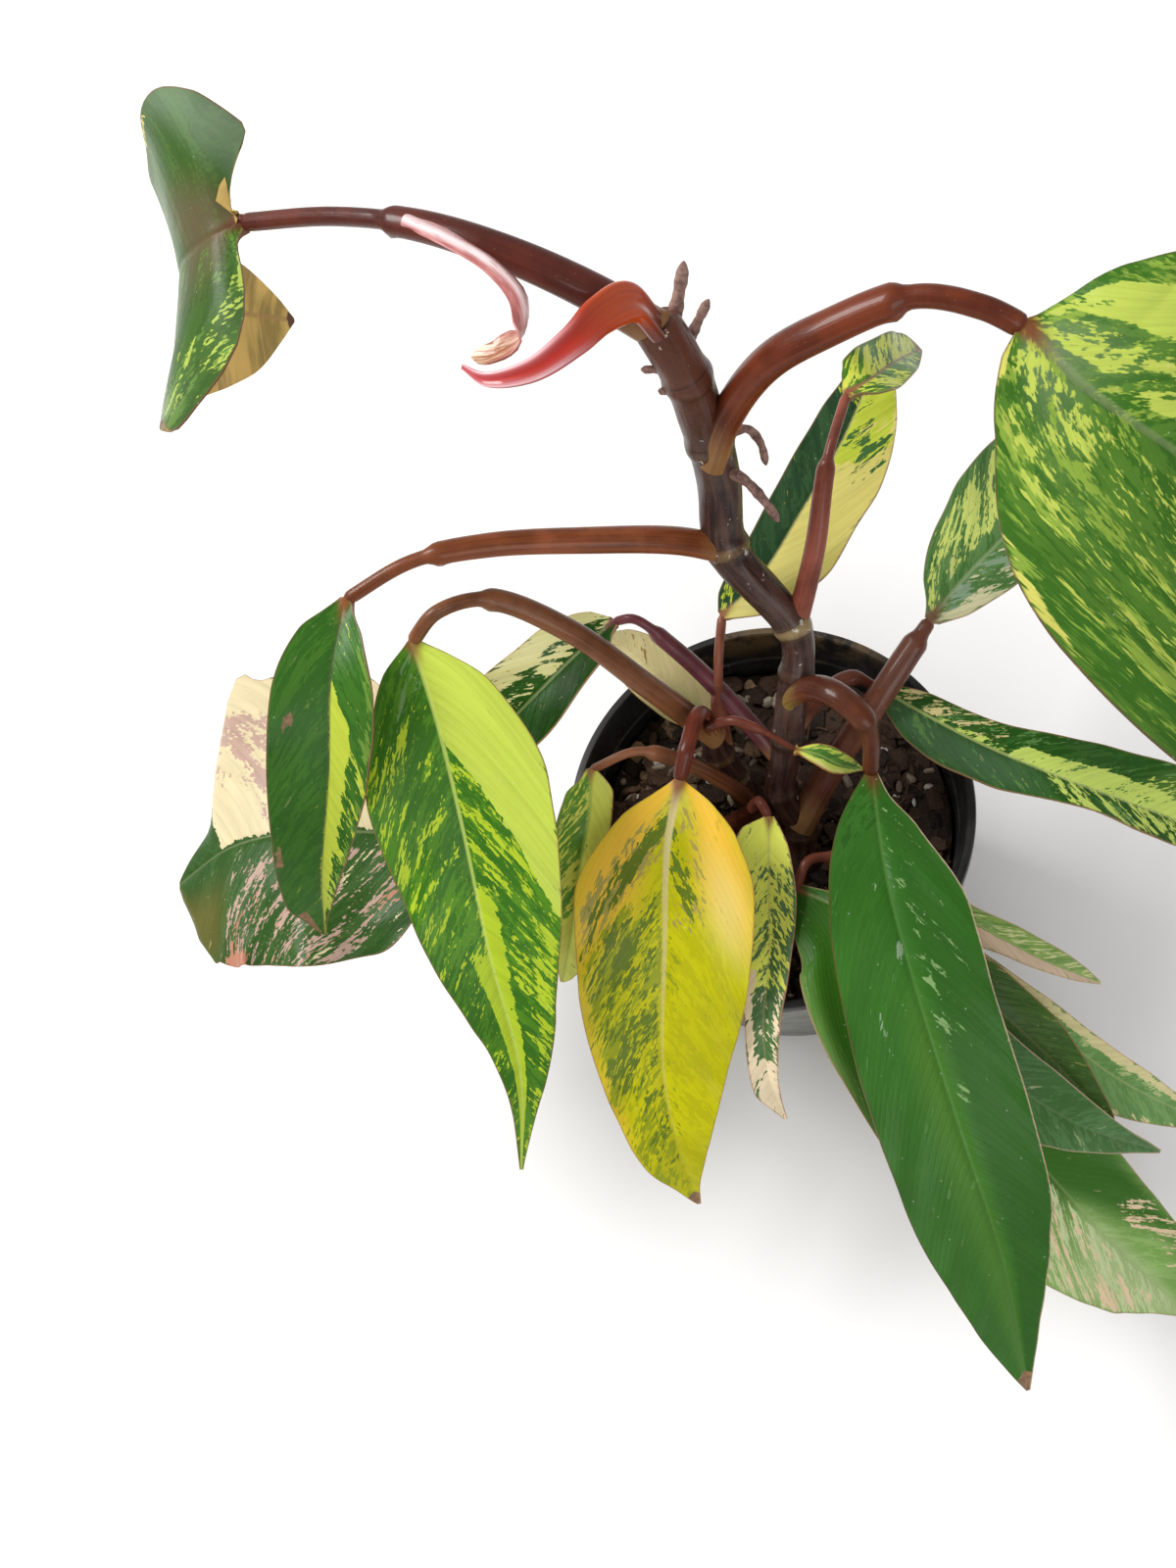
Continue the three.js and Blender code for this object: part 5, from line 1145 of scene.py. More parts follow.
def soil_height(x, y):
    """The height of the soil's uneven surface"""
    swell = np.sin(0.13 * x + 1) * np.cos(0.17 * y)
    return SOIL_TOP + SOIL_BUMP * (swell + 0.5 * np.sin(0.31 * x + 0.23 * y))


def pot_radius(z):
    """The pot's outer radius at a height"""
    return BASE_RADIUS + (RIM_RADIUS - LIP_PROUD - BASE_RADIUS) * z / POT_HEIGHT


def ring_at(radius, height, turn):
    """A level ring of points"""
    return np.stack([radius * np.cos(turn), radius * np.sin(turn), np.full(len(turn), float(height))], 1)


def pot_profile():
    """Radius and height of the pot's outline, from the middle of its underside round to that of its floor"""
    under = POT_HEIGHT - LIP_DEPTH
    wall = pot_radius(POT_HEIGHT) - WALL
    foot = [(0, FOOT_RISE), (FOOT_INNER, FOOT_RISE), (FOOT_INNER + 1.5, 0), (BASE_RADIUS - 1.2, 0)]
    foot += [(BASE_RADIUS - 0.3, 0.4), (BASE_RADIUS, FOOT_RISE)]
    outside = [(pot_radius(z), z) for z in (SEAM_HEIGHT, SEAM_HEIGHT + 0.4)]
    outside += [(pot_radius(z) - SEAM_DEPTH, z) for z in (SEAM_HEIGHT + 1, SEAM_HEIGHT + 1.6)]
    outside += [(pot_radius(z), z) for z in (SEAM_HEIGHT + 2.2, 30, 45, 60, 75, 90, under - 0.6)]
    lip = [(RIM_RADIUS - 0.5, under + 0.1), (RIM_RADIUS, under + 0.7), (RIM_RADIUS, POT_HEIGHT - 1)]
    lip += [(RIM_RADIUS - 0.3, POT_HEIGHT - 0.3), (RIM_RADIUS - 0.9, POT_HEIGHT)]
    lip += [(wall + 0.5, POT_HEIGHT), (wall + 0.1, POT_HEIGHT - 0.5), (wall, POT_HEIGHT - 1.4)]
    inside = [(pot_radius(z) - WALL, z) for z in (LEDGE_HEIGHT + 6, LEDGE_HEIGHT + 0.6)]
    inside += [(pot_radius(z) - WALL - LEDGE_DEPTH, z) for z in (LEDGE_HEIGHT, LEDGE_HEIGHT - 10)]
    inside += [(pot_radius(z) - WALL, z) for z in (60, 30, POT_FLOOR + 0.8)]
    return foot + outside + lip + inside + [(pot_radius(POT_FLOOR) - WALL - 1, POT_FLOOR), (0, POT_FLOOR)]


def drain_drill():
    """The rods that cut the drain holes"""
    cutter = bmesh.new()
    for i in range(DRAIN_HOLES):
        angle = ROUND * (i + 0.5) / DRAIN_HOLES
        place = (DRAIN_CIRCLE * MM * math.cos(angle), DRAIN_CIRCLE * MM * math.sin(angle), 0)
        bmesh.ops.create_cone(
            cutter, cap_ends=True, segments=32, radius1=DRAIN_RADIUS * MM, radius2=DRAIN_RADIUS * MM,
            depth=8 * POT_FLOOR * MM, matrix=Matrix.Translation(place))
    mesh = bpy.data.meshes.new("drill")
    cutter.to_mesh(mesh)
    cutter.free()
    drill = bpy.data.objects.new("drill", mesh)
    bpy.context.scene.collection.objects.link(drill)
    return drill


def pot(skin):
    """The pot: tapered wall, rolled lip, a low step inside and a floor with drain holes"""
    profile = pot_profile()
    rings = [ring_at(radius, height, circle(POT_SEGMENTS)) for radius, height in profile[1:-1]]
    points, faces = closed(rings, (0, 0, profile[0][1]), (0, 0, profile[-1][1]))
    body = make("pot_body", points * MM, faces, [skin], crease=35)
    drill = drain_drill()
    cut = body.modifiers.new("drain", "BOOLEAN")
    cut.operation = "DIFFERENCE"
    cut.object = drill
    shaped = body.evaluated_get(bpy.context.evaluated_depsgraph_get())
    drained = bpy.data.meshes.new_from_object(shaped)
    body.modifiers.clear()
    body.data = drained
    bpy.data.objects.remove(drill)
    drained.set_sharp_from_angle(angle=math.radians(35))
    return body


def soil_bed(skin):
    """The soil's body, its surface rough with fine crumbs"""
    edge = pot_radius(SOIL_EDGE) - WALL - 0.6
    random = np.random.default_rng(5)
    waves = []
    for _ in range(SOIL_WAVES):
        waves.append((random.uniform(0.3, 1.6), *random.uniform(-1, 1, 2), random.uniform(0, 6.3)))
    turn = circle(SOIL_SEGMENTS)
    rings = []
    for i in range(1, SOIL_RINGS + 1):
        ring = ring_at(edge * (i / SOIL_RINGS) ** 0.8, SOIL_EDGE, turn)
        x, y = ring[:, 0], ring[:, 1]
        rough = sum(np.sin(f * (x * a + y * b) + c) / (1 + f) for f, a, b, c in waves) * SOIL_ROUGH
        crumbs = random.uniform(-CRUMB, CRUMB, SOIL_SEGMENTS)
        if i < SOIL_RINGS:
            ring[:, 2] = soil_height(x, y)
        ring[:, 2] += rough + crumbs
        rings.append(ring)
    bottom = POT_FLOOR + GAP
    rings.append(ring_at(pot_radius(POT_FLOOR) - WALL - 1.2, bottom, turn))
    points, faces = closed(rings, (0, 0, float(soil_height(0, 0))), (0, 0, bottom))
    outward = [(face[0], *face[:0:-1]) for face in faces]
    return make("soil_bed", points * MM, outward, [skin], crease=70)


def lump_shape(random, detail, rough, boxy):
    """Points and triangles of one rough lump of about unit size"""
    ball = bmesh.new()
    bmesh.ops.create_icosphere(ball, subdivisions=detail, radius=1)
    points = np.array([vertex.co for vertex in ball.verts])
    faces = [tuple(vertex.index for vertex in face.verts) for face in ball.faces]
    ball.free()
    points = np.sign(points) * np.abs(points) ** boxy
    waves = random.uniform(-3, 3, (5, 3))
    bumps = sum(np.sin(points @ wave + k) for k, wave in enumerate(waves)) / 5
    return points * (1 + rough * bumps + 0.35 * rough * random.uniform(-1, 1, len(points)))[:, None], faces


def scatter(name, bits):
    """Lumps lying on the soil, a share of them left out toward the right; each carries a tone of its own"""
    random = np.random.default_rng(bits["seed"])
    shapes = [lump_shape(random, *bits["lump"]) for _ in range(LUMP_KINDS)]
    edge = pot_radius(SOIL_EDGE) - WALL - 2.5
    points = []
    faces = []
    tones = []
    start = 0
    for i in range(bits["count"]):
        shape, corners = shapes[i % LUMP_KINDS]
        size = random.uniform(*bits["sizes"]) / 2
        scale = np.array([1, random.uniform(0.3, 0.85), random.uniform(*bits["flatness"])]) * size
        tilt = random.normal(0, LUMP_TILT, 2)
        spin = Matrix.Rotation(random.uniform(0, 6.28), 3, "Z") @ Matrix.Rotation(tilt[0], 3, "X")
        spin = np.array(spin @ Matrix.Rotation(tilt[1], 3, "Y"))
        radius = (edge - size * 0.5) * math.sqrt(random.uniform(0, 1))
        angle = random.uniform(0, ROUND)
        x = radius * math.cos(angle)
        y = radius * math.sin(angle)
        rightward = np.clip((x - THINNING_START) / THINNING_WIDTH, 0, 1)
        if random.uniform() < bits["fewer"] * rightward:
            continue
        z = float(soil_height(x, y)) - EDGE_SINK * max(0, radius - EDGE_START)
        z += scale[2] * (1 - 2 * LUMP_SUNK) + random.uniform(0, 0.8)
        points.append((shape * scale) @ spin.T + (x, y, z))
        faces += [tuple(start + index for index in corner) for corner in corners]
        tones.append(np.full(len(shape), random.uniform(0, 1) * (1 - 0.4 * rightward)))
        start += len(shape)
    fields = {"tone": np.concatenate(tones)}
    skin = grit_skin(*bits["skin"])
    return make(name, np.vstack(points) * MM, faces, [skin], fields=fields, crease=24)


def fibres(skin, count, seed):
    """Thin curled fibres that lie among the bark"""
    random = np.random.default_rng(seed)
    edge = pot_radius(SOIL_EDGE) - WALL - 9
    parts = []
    for _ in range(count):
        radius = edge * math.sqrt(random.uniform(0, 1))
        angle = random.uniform(0, ROUND)
        place = np.array([radius * math.cos(angle), radius * math.sin(angle)])
        heading = random.uniform(0, ROUND)
        path = []
        for _ in range(FIBRE_STEPS):
            path.append((*place, float(soil_height(*place)) + 1.6 + random.uniform(-0.6, 1.2)))
            heading += random.normal(0, 0.5)
            place = place + random.uniform(1.5, 4) * np.array([math.cos(heading), math.sin(heading)])
            place = place * min(1, edge / max(1, np.hypot(*place)))
        thick = random.uniform(0.14, 0.4)

        def section(s, turn, thick=thick):
            reach = thick * MM * (1 - 0.5 * s)
            return reach * np.cos(turn), reach * np.sin(turn)

        parts.append(tube(Route(path), np.linspace(0, 1, 20), 6, (0, 0.02, 1), section))
    return merged("soil_fibres", parts, skin)


# Materials


def scaled(colour, factor):
    """A colour made darker or lighter"""
    return tuple(min(1, channel * factor) for channel in colour)


class Skin:
    """A material's node tree, with short calls for the nodes it is made of"""

    def __init__(self, name):
        self.material = bpy.data.materials.new(name)
        self.material.use_nodes = True
        self.tree = self.material.node_tree
        self.tree.nodes.clear()
        self.shader = self.tree.nodes.new("ShaderNodeBsdfPrincipled")
        output = self.tree.nodes.new("ShaderNodeOutputMaterial")
        self.tree.links.new(self.shader.outputs[0], output.inputs[0])

    def put(self, socket, value):
        if isinstance(value, bpy.types.NodeSocket):
            self.tree.links.new(value, socket)
        elif isinstance(value, tuple) and socket.type == "RGBA":
            socket.default_value = (*value, 1)
        else:
            socket.default_value = value

    def node(self, kind, inputs, output=0, **settings):
        """A node with its settings and inputs, by number or name; gives one of its outputs"""
        node = self.tree.nodes.new(kind)
        for key, value in settings.items():
            setattr(node, key, value)
        for key, value in inputs.items():
            self.put(node.inputs[key], value)
        return node.outputs[output]

    def field(self, name):
        return self.node("ShaderNodeAttribute", {}, "Fac", attribute_name=name)

    def place(self):
        return self.node("ShaderNodeTexCoord", {}, "Object")

    def axes(self, vector, *chosen):
        return [self.node("ShaderNodeSeparateXYZ", {0: vector}, axis) for axis in chosen]

    def vein(self):
        """The place along a blade, following its side veins, and across it, or along and around a tube"""
        return self.axes(self.node("ShaderNodeUVMap", {}, uv_map="vein"), 0, 1)

    def math(self, operation, a, b=0.0, clamp=False):
        return self.node("ShaderNodeMath", {0: a, 1: b}, operation=operation, use_clamp=clamp)

    def plus(self, a, b):
        return self.math("ADD", a, b)

    def minus(self, a, b):
        return self.math("SUBTRACT", a, b)

    def times(self, a, b):
        return self.math("MULTIPLY", a, b)

    def mix(self, share, a, b):
        return self.node("ShaderNodeMix", {0: share, 6: a, 7: b}, 2, data_type="RGBA")

    def range(self, value, low, high, start=0.0, end=1.0):
        inputs = {0: value, 1: low, 2: high, 3: start, 4: end}
        return self.node("ShaderNodeMapRange", inputs, interpolation_type="SMOOTHSTEP")

    def noise(self, vector, scale=1.0, detail=3.0, roughness=0.55):
        inputs = {"Vector": vector, "Scale": scale, "Detail": detail, "Roughness": roughness}
        return self.node("ShaderNodeTexNoise", inputs, "Fac")

    def grain(self, scale, detail, roughness=0.55):
        """A cloudy pattern through the whole object"""
        return self.noise(self.place(), scale, detail, roughness)

    def streaks(self, travel, across, shift, detail=3.0):
        """A pattern drawn out along the side veins; travel and across are already scaled"""
        return self.noise(self.node("ShaderNodeCombineXYZ", {0: travel, 1: across, 2: shift}), detail=detail)

    def lines(self, around_scale, along_scale, detail, roughness=0.55):
        """A pattern drawn out along a tube, with no seam around it"""
        travel, turn = self.vein()
        around = self.times(turn, ROUND)
        x, y = (self.times(self.math(wave, around), around_scale) for wave in ("COSINE", "SINE"))
        z = self.times(travel, along_scale)
        vector = self.node("ShaderNodeCombineXYZ", {0: x, 1: y, 2: z})
        return self.noise(vector, detail=detail, roughness=roughness)

    def cells(self, scale):
        inputs = {"Vector": self.place(), "Scale": scale}
        return self.node("ShaderNodeTexVoronoi", inputs, "Distance", feature="F1")

    def bump(self, height, distance):
        inputs = {"Height": height, "Distance": distance, "Strength": 1.0}
        self.put(self.shader.inputs["Normal"], self.node("ShaderNodeBump", inputs))

    def finish(self, colour, roughness, coat=0.0, coat_roughness=0.2, specular=0.5):
        self.put(self.shader.inputs["Base Color"], colour)
        self.put(self.shader.inputs["Roughness"], roughness)
        self.put(self.shader.inputs["Coat Weight"], coat)
        self.put(self.shader.inputs["Coat Roughness"], coat_roughness)
        self.put(self.shader.inputs["Specular IOR Level"], specular)
        return self.material


def leaf_skin(name, look, seed):
    """The upper face of a blade: mottled green with streaks and flecks of other colours along its veins"""
    skin = Skin(name)
    travel, across = skin.vein()
    shorter, finer, soft = look["shorter"], look["finer"], look["soft"]

    def streaks(along_scale, across_scale, shift, detail=3.0):
        x = skin.times(travel, along_scale)
        return skin.streaks(x, skin.times(across, across_scale), seed * 7.3 + shift, detail)

    flecks = streaks(1100, 900, 6.7, 2.0)

    def pattern(shift):
        broad = skin.times(streaks(180 * finer, 75 * shorter, shift), 0.38)
        fine = skin.times(streaks(500 * finer, 260 * shorter, shift + 3.1), 0.37)
        total = skin.plus(skin.plus(broad, fine), skin.times(flecks, 0.25))
        return skin.node("ShaderNodeMapRange", {0: total, 1: 0.37, 2: 0.63, 3: 0.0, 4: 1.0})

    colour = skin.mix(skin.range(pattern(20.0), 0.42, 0.62), *look["ground"])
    cloud = skin.grain(38, 2.0)
    colour = skin.mix(skin.range(cloud, 0.4, 0.7, 0.0, 0.4), colour, scaled(look["ground"][0], 0.72))
    # on some leaves the washes are painted sheen, painted highlight and painted shade
    for number, wash in enumerate(look["washes"], 1):
        share = skin.math("MULTIPLY", skin.field(f"wash_{number}"), 1.0, clamp=True)
        colour = skin.mix(share, colour, wash[0])
    for number, tint in enumerate(look["tints"], 1):
        over = skin.minus(skin.field(f"tint_{number}"), pattern(31.7 * number))
        mask = skin.range(over, -0.03 * soft, 0.05 * soft)
        tone = skin.range(streaks(420, 60, 2.2 * number), 0.3, 0.7)
        colour = skin.mix(mask, colour, skin.mix(tone, scaled(tint, 0.92), scaled(tint, 1.06)))
    veins = skin.math("PINGPONG", travel, 0.0016)
    colour = skin.mix(skin.range(veins, 0.0, 0.0005, 0.08, 0.0), colour, scaled(look["ground"][0], 0.5))
    rib = skin.minus(skin.math("ABSOLUTE", across), skin.field("rib"))
    rib_mask = skin.times(skin.range(rib, -0.0003, 0.0003, 1.0, 0.0), skin.field("rib_share"))
    colour = skin.mix(rib_mask, colour, look["rib"][0])
    colour = skin.mix(skin.range(skin.field("blush"), 0.1, 0.7, 0.0, 0.85), colour, look["stalk"][0])
    scar = skin.minus(skin.field("scar"), skin.grain(260, 4.0, 0.65))
    colour = skin.mix(skin.range(scar, -0.08, 0.05), colour, skin.mix(skin.grain(700, 2.0), *SCAR))
    edge = skin.plus(skin.field("edge"), skin.times(flecks, 0.0004))
    side = skin.range(across, -0.001, 0.001)
    margin = skin.mix(side, look["margin"], look.get("right_margin", look["margin"]))
    colour = skin.mix(skin.range(edge, 0.0002, 0.0007, 0.8, 0.0), colour, margin)
    colour = skin.mix(skin.range(skin.cells(230), 0.04, 0.07, 0.3, 0.0), colour, SPECK)
    rough = skin.range(skin.grain(55, 4.0), 0.3, 0.7, 0.26, 0.40)
    pores = skin.grain(900, 3.0)
    relief = skin.plus(skin.times(skin.grain(120, 2.0), 2.2), skin.range(veins, 0.0, 0.0008, 0.0, 0.45))
    relief = skin.plus(relief, skin.plus(pores, skin.times(flecks, 0.5)))
    skin.bump(relief, 0.00006)
    return skin.finish(colour, rough, specular=0.13)


def under_skin(name, look):
    """The dull, paler underside of a blade"""
    skin = Skin(name)
    travel, across = skin.vein()
    streak = skin.streaks(skin.times(travel, 260), skin.times(across, 50), 1.7)
    paler = scaled(look["under"], 1.2)
    colour = skin.mix(skin.range(streak, 0.35, 0.65), scaled(look["under"], 0.62), paler)
    green = skin.range(skin.grain(60, 4.0), 0.42, 0.62, 0.0, look["under_green"])
    colour = skin.mix(green, colour, look["ground"][1])
    rib = skin.minus(skin.math("ABSOLUTE", across), skin.field("rib"))
    colour = skin.mix(skin.range(rib, 0.0, 0.0006, 0.8, 0.0), colour, look["under_rib"])
    veins = skin.math("PINGPONG", travel, VEIN_SPACING * MM / 2)
    colour = skin.mix(skin.range(veins, 0.0, 0.0005, 0.35, 0.0), colour, paler)
    scar = skin.minus(skin.field("scar"), skin.grain(210, 4.0, 0.65))
    colour = skin.mix(skin.range(scar, -0.1, 0.06), colour, UNDER_SCAR)
    skin.bump(skin.plus(streak, skin.range(veins, 0.0, 0.0008)), 0.00015)
    return skin.finish(colour, skin.range(streak, 0.3, 0.7, 0.42, 0.58), specular=0.4)


def stalk_skin(name, upper, lower, wing_and_highlight=SHEATH_WING_AND_HIGHLIGHT, clasp=SHEATH_CLASP):
    """A glossy reddish stalk with fine lengthwise lines, pale sheath edges that are partly a painted
    highlight, and painted shade on its underside and in its groove
    """
    skin = Skin(name)
    lines = skin.lines(5, 22, 5.0, 0.65)
    cloud = skin.grain(70, 3.0)
    # the lower colour on the underside is painted shade
    base = skin.mix(skin.range(skin.field("low"), 0.0, 0.6), upper, lower)
    colour = skin.mix(skin.range(lines, 0.36, 0.62), skin.mix(0.5, base, STALK_LINE), base)
    colour = skin.mix(skin.range(cloud, 0.35, 0.7, 0.0, 0.45), colour, scaled(upper, 1.5))
    # pale sheath edges, partly a painted highlight
    wing_and_highlight_mask = skin.times(skin.field("wing_and_highlight"), skin.range(lines, 0.3, 0.6, 0.35, 0.8))
    colour = skin.mix(wing_and_highlight_mask, colour, wing_and_highlight)
    # the floor of the sheath's groove is darker: painted shade
    colour = skin.mix(skin.times(skin.field("inner"), 0.5), colour, scaled(upper, 0.5))
    colour = skin.mix(skin.times(skin.field("clasp"), 0.75), colour, clasp)
    colour = skin.mix(skin.range(skin.cells(520), 0.04, 0.09, 0.22, 0.0), colour, STALK_FLECK)
    skin.bump(lines, 0.00018)
    rough = skin.range(cloud, 0.3, 0.7, 0.2, 0.34)
    return skin.finish(colour, rough, coat=0.2, coat_roughness=0.1, specular=0.14)


def claw_skin():
    """The new leaf's glossy sheath: orange at its base, deep red, with a pink tip, painted shade on its
    lower side and a painted pink-white highlight along its upper side
    """
    skin = Skin("sheath_red")
    lines = skin.lines(4, 16, 4.0)
    place = skin.field("place")
    base = skin.mix(skin.range(place, 0.0, 0.16), CLAW_FOOT, CLAW_ORANGE)
    body = skin.mix(skin.range(place, 0.25, 0.62), base, CLAW_RED)
    colour = skin.mix(skin.range(place, 0.7, 1.0, 0.0, 0.8), body, CLAW_TIP)
    colour = skin.mix(skin.range(lines, 0.4, 0.7, 0.0, 0.35), colour, CLAW_LINE)
    colour = skin.mix(skin.range(skin.field("low"), 0.1, 0.9, 0.0, 0.5), colour, CLAW_SHADE)
    # a painted pink-white highlight along the upper flanks
    highlight_band = skin.times(skin.field("wing_and_highlight"), skin.range(place, 0.4, 0.7))
    colour = skin.mix(skin.times(highlight_band, skin.range(lines, 0.3, 0.6, 0.55, 1.0)), colour, CLAW_PAINTED_HIGHLIGHT)
    skin.bump(lines, 0.00012)
    return skin.finish(colour, 0.34, coat=0.55, coat_roughness=0.06, specular=0.14)


def stem_skin():
    """Dark purple-brown stem with grey patches, partly a bloom and partly painted sheen, redder at its top,
    and tan rings at its nodes
    """
    skin = Skin("stem_bark")
    lines = skin.lines(3, 60, 6.0, 0.6)
    cloud = skin.grain(110, 4.0, 0.6)
    colour = skin.mix(skin.range(lines, 0.35, 0.65), *STEM_PURPLE)
    # grey patches, partly bloom and partly painted sheen
    colour = skin.mix(skin.range(cloud, 0.45, 0.7, 0.0, 0.4), colour, STEM_BLOOM_AND_SHEEN)
    high = skin.axes(skin.place(), 2)[0]
    colour = skin.mix(skin.range(high, 0.200, 0.232, 0.0, 0.65), colour, STEM_TOP)
    ring = skin.range(skin.field("pale"), 0.15, 0.95, 0.0, 0.85)
    tan = skin.mix(skin.range(cloud, 0.35, 0.65), *STEM_TAN)
    colour = skin.mix(skin.times(ring, skin.range(lines, 0.3, 0.5, 0.5, 1.0)), colour, tan)
    seam = skin.math("ABSOLUTE", skin.minus(skin.field("ring"), 0.5))
    colour = skin.mix(skin.range(seam, 0.0, 0.16, 0.7, 0.0), colour, STEM_SEAM)
    flaky = skin.plus(skin.grain(330, 3.0, 0.7), skin.range(skin.field("pale"), 0.05, 0.6, 0.0, 0.09))
    colour = skin.mix(skin.range(flaky, 0.672, 0.71, 0.0, 0.75), colour, STEM_FLAKE)
    skin.bump(skin.plus(lines, skin.times(cloud, 0.6)), 0.0004)
    rough = skin.range(cloud, 0.3, 0.7, 0.24, 0.4)
    return skin.finish(colour, rough, coat=0.12, coat_roughness=0.2, specular=0.25)


def root_skin():
    """Pinkish brown air roots, scurfy and ringed"""
    skin = Skin("air_root")
    cloud = skin.grain(420, 5.0, 0.65)
    colour = skin.mix(skin.range(cloud, 0.35, 0.65), *ROOT_PINK)
    rings = skin.streaks(skin.times(skin.vein()[0], 900), 0.0, 0.0, 2.0)
    colour = skin.mix(skin.range(rings, 0.5, 0.7, 0.0, 0.5), colour, ROOT_RING)
    skin.bump(skin.plus(cloud, rings), 0.0004)
    return skin.finish(colour, 0.62)


def pot_skin():
    """Black moulded plastic, slightly glossy, with dust, a scuffed grey outer wall lightest at the front
    that is partly wear and partly painted sheen, and a brown stain inside the back rim
    """
    skin = Skin("pot_black")
    x, y, z = skin.axes(skin.place(), 0, 1, 2)
    dust = skin.grain(90, 6.0, 0.65)
    colour = skin.mix(skin.range(dust, 0.4, 0.75, 0.0, 0.5), POT_BLACK, POT_DUST)
    low = skin.range(z, 0.10, 0.085, 0.0, 0.5)
    radius = skin.math("SQRT", skin.plus(skin.times(x, x), skin.times(y, y)))
    inside = skin.range(skin.minus(radius, skin.times(z, 0.0942)), 0.0482, 0.0478)
    dirt = skin.times(skin.times(skin.range(skin.grain(420, 4.0, 0.7), 0.58, 0.66), inside), low)
    # the outer wall turns grey, most at the front: partly wear, partly painted sheen
    outside = skin.times(skin.minus(1.0, inside), skin.range(z, 0.099, 0.097, 0.0, 0.9))
    outside = skin.times(outside, skin.range(y, -0.01, -0.045, 0.12, 1.0))
    colour = skin.mix(outside, colour, POT_WORN_AND_SHEEN)
    colour = skin.mix(dirt, colour, POT_DIRT)
    stain = skin.times(skin.range(y, 0.040, 0.054), skin.range(z, 0.088, 0.102))
    stain = skin.times(stain, skin.range(skin.grain(60, 5.0, 0.7), 0.48, 0.6, 0.0, 0.7))
    colour = skin.mix(stain, colour, POT_STAIN)
    vector = skin.node("ShaderNodeCombineXYZ", {0: x, 1: y, 2: skin.times(z, 14)})
    skin.bump(skin.plus(dust, skin.noise(vector, 160, 3.0, 0.7)), 0.00008)
    return skin.finish(colour, skin.range(dust, 0.35, 0.7, 0.33, 0.6), specular=0.5)


def grit_skin(name, tones, roughness=0.85, depth=0.0006):
    """Bark, stone or soil: three tones picked by the lump's own tone and by its grain"""
    skin = Skin(name)
    dark, middle, light = tones
    grain = skin.grain(380, 6.0, 0.7)
    tone = skin.plus(skin.times(skin.field("tone"), 0.75), skin.times(grain, 0.5))
    colour = skin.mix(skin.range(tone, 0.25, 0.65), dark, middle)
    colour = skin.mix(skin.range(tone, 0.72, 1.0), colour, light)
    pores = skin.cells(900)
    # the small pits that the bump dents are darker: painted shade
    colour = skin.mix(skin.range(pores, 0.1, 0.35, 0.5, 0.0), colour, dark)
    skin.bump(skin.plus(grain, skin.times(pores, 0.5)), depth)
    return skin.finish(colour, roughness, specular=0.3)


def loose_skin():
    """Dry papery sheath: pink, with a painted pink-white highlight along its middle and brown at its curled
    end
    """
    skin = Skin("sheath_pink")
    travel, across = skin.vein()
    lines = skin.streaks(skin.times(travel, 160), skin.times(across, 1500), 0.5, 4.0)
    pink = skin.mix(skin.range(lines, 0.35, 0.65), *PEEL_PINK)
    # a painted highlight along the middle of the strip
    glint = skin.times(skin.range(across, -0.0016, 0.0002), skin.range(across, 0.0014, 0.0004))
    colour = skin.mix(skin.times(glint, skin.range(lines, 0.3, 0.6, 0.5, 0.9)), pink, PEEL_GLINT)
    brown = skin.mix(skin.range(lines, 0.4, 0.6), *PEEL_BROWN)
    colour = skin.mix(skin.range(travel, 0.034, 0.048), colour, brown)
    skin.bump(lines, 0.0003)
    return skin.finish(colour, 0.3, coat=0.3, coat_roughness=0.12, specular=0.3)


# Studio


def area_light(name, place, size, energy, colour=(1, 1, 1)):
    """A soft square light that faces the plant"""
    light = bpy.data.lights.new(name, "AREA")
    light.shape = "SQUARE"
    light.size = size
    light.energy = energy
    light.color = colour
    thing = bpy.data.objects.new(name, light)
    back = (Vector(place) - Vector(LIGHT_AIM)).normalized()
    thing.matrix_world = Matrix.Translation(place) @ back.to_track_quat("Z", "Y").to_matrix().to_4x4()
    bpy.context.scene.collection.objects.link(thing)


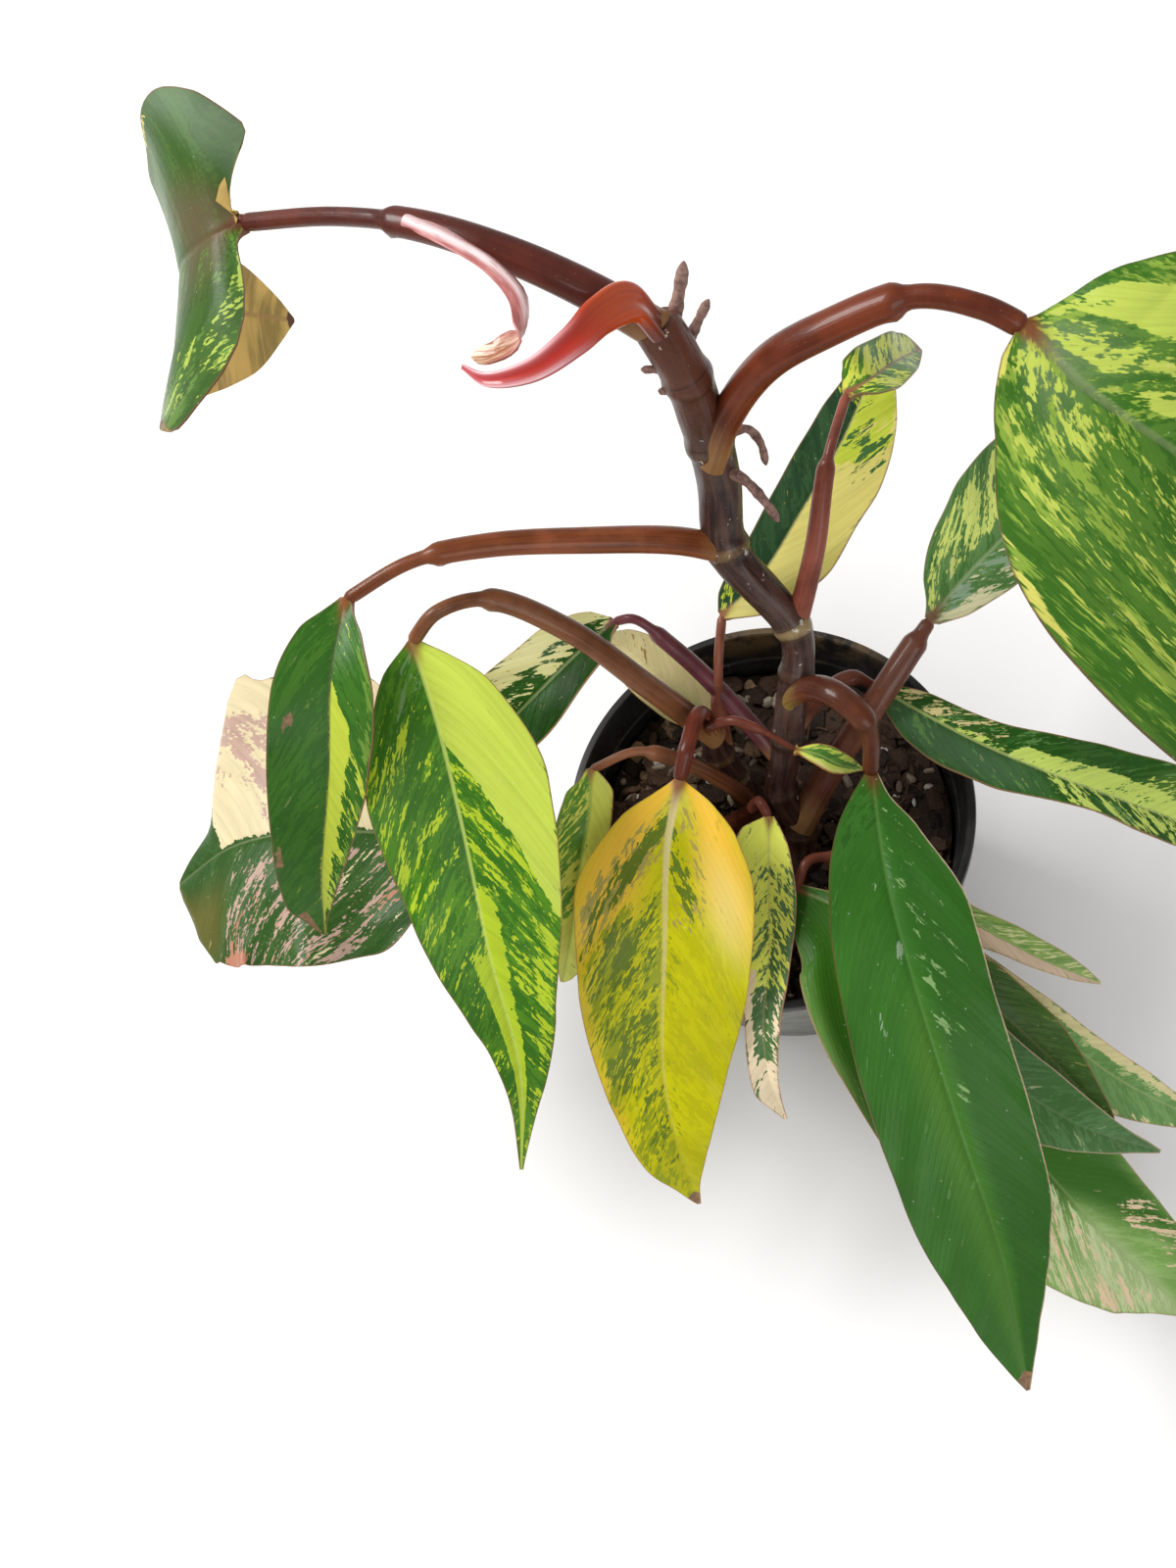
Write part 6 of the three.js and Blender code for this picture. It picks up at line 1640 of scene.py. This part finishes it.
def studio():
    """Pale floor, white surroundings, two soft lights and the picture's camera"""
    scene = bpy.context.scene
    scene.view_settings.view_transform = "Standard"
    world = bpy.data.worlds.new("studio")
    world.use_nodes = True
    world.node_tree.nodes["Background"].inputs[0].default_value = (1.0, 1.0, 1.0, 1)
    world.node_tree.nodes["Background"].inputs[1].default_value = SKY_STRENGTH
    scene.world = world
    area_light("key", (-0.75, 0.35, 1.1), 0.5, 15.0, (1, 0.99, 0.97))
    area_light("fill", (0.5, -1.0, 0.9), 0.8, 6.0)
    plain = Skin("floor_white")
    plain.finish(plain.mix(plain.grain(30, 3.0), *PAPER), 0.9, specular=0.2)
    around = ((-1, -1), (1, -1), (1, 1), (-1, 1))
    corners = [(x * GROUND_REACH, y * GROUND_REACH, GROUND_LEVEL) for x, y in around]
    make("floor", corners, [(0, 1, 2, 3)], [plain.material])
    lens = bpy.data.cameras.new("camera")
    lens.sensor_fit = "VERTICAL"
    lens.sensor_height = SENSOR_HEIGHT
    lens.lens = FOCAL_LENGTH
    lens.clip_start = 0.01
    camera = bpy.data.objects.new("camera", lens)
    axes = Matrix((CAMERA_RIGHT, CAMERA_UP, CAMERA_BACK)).transposed().to_4x4()
    camera.matrix_world = Matrix.Translation(tuple(c * MM for c in CAMERA_PLACE)) @ axes
    scene.collection.objects.link(camera)
    scene.camera = camera


def settle(piece, slot, *nodes):
    """Sets a piece on the part: it rides on the root body and hides the nodes it stands for; slot is not
    used
    """
    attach(piece, "root")
    if nodes:
        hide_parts(*nodes)


studio()
settle(pot(pot_skin()), "pot_black", "pot")
settle(soil_bed(grit_skin("potting_mix", SOIL_TONES)), "potting_mix", "soil")
for bits_name, bits in BITS.items():
    settle(scatter(bits_name, bits), "potting_mix")
settle(fibres(grit_skin("fibre", FIBRE_TONES, 0.7, 0.0001), 130, 41), "potting_mix")

bark_skin = stem_skin()
for stem_name, stem in STEMS.items():
    settle(stem_mesh(f"visible_{stem_name}", stem, bark_skin), "stem_bark", stem_name)
settle(air_roots(root_skin()), "stem_bark")

for number, leaf_name in enumerate(LEAVES, 1):
    leaf = {**PLAIN_LEAF, **LEAVES[leaf_name]}
    look = {**PLAIN_LOOK, **LOOKS[leaf_name]}
    face = leaf_skin(f"face_{leaf_name}", look, number)
    under = face if look["alike"] else under_skin(f"under_{leaf_name}", look)
    piece = blade(f"leaf_{leaf_name}", leaf, look, [face, under], number, leaf["thin"])
    settle(piece, look["slot"], f"blade_{leaf_name}")
    piece = stalk(f"visible_stalk_{leaf_name}", leaf, stalk_skin(f"stalk_{leaf_name}", *look["stalk"]))
    settle(piece, "stalk_red", f"stalk_{leaf_name}")

settle(new_leaf(claw_skin()), "sheath_red", "new_leaf_sheath")
peel = loose_skin()
peel_leaf = {**PLAIN_LEAF, **LOOSE_SHEATH}
peel_look = {**PLAIN_LOOK, "rib": ((0, 0, 0), 0.3, 0.2), "patches": ()}
settle(blade("peeled_sheath", peel_leaf, peel_look, [peel, peel], 77, 0.5), "sheath_pink", "loose_sheath")
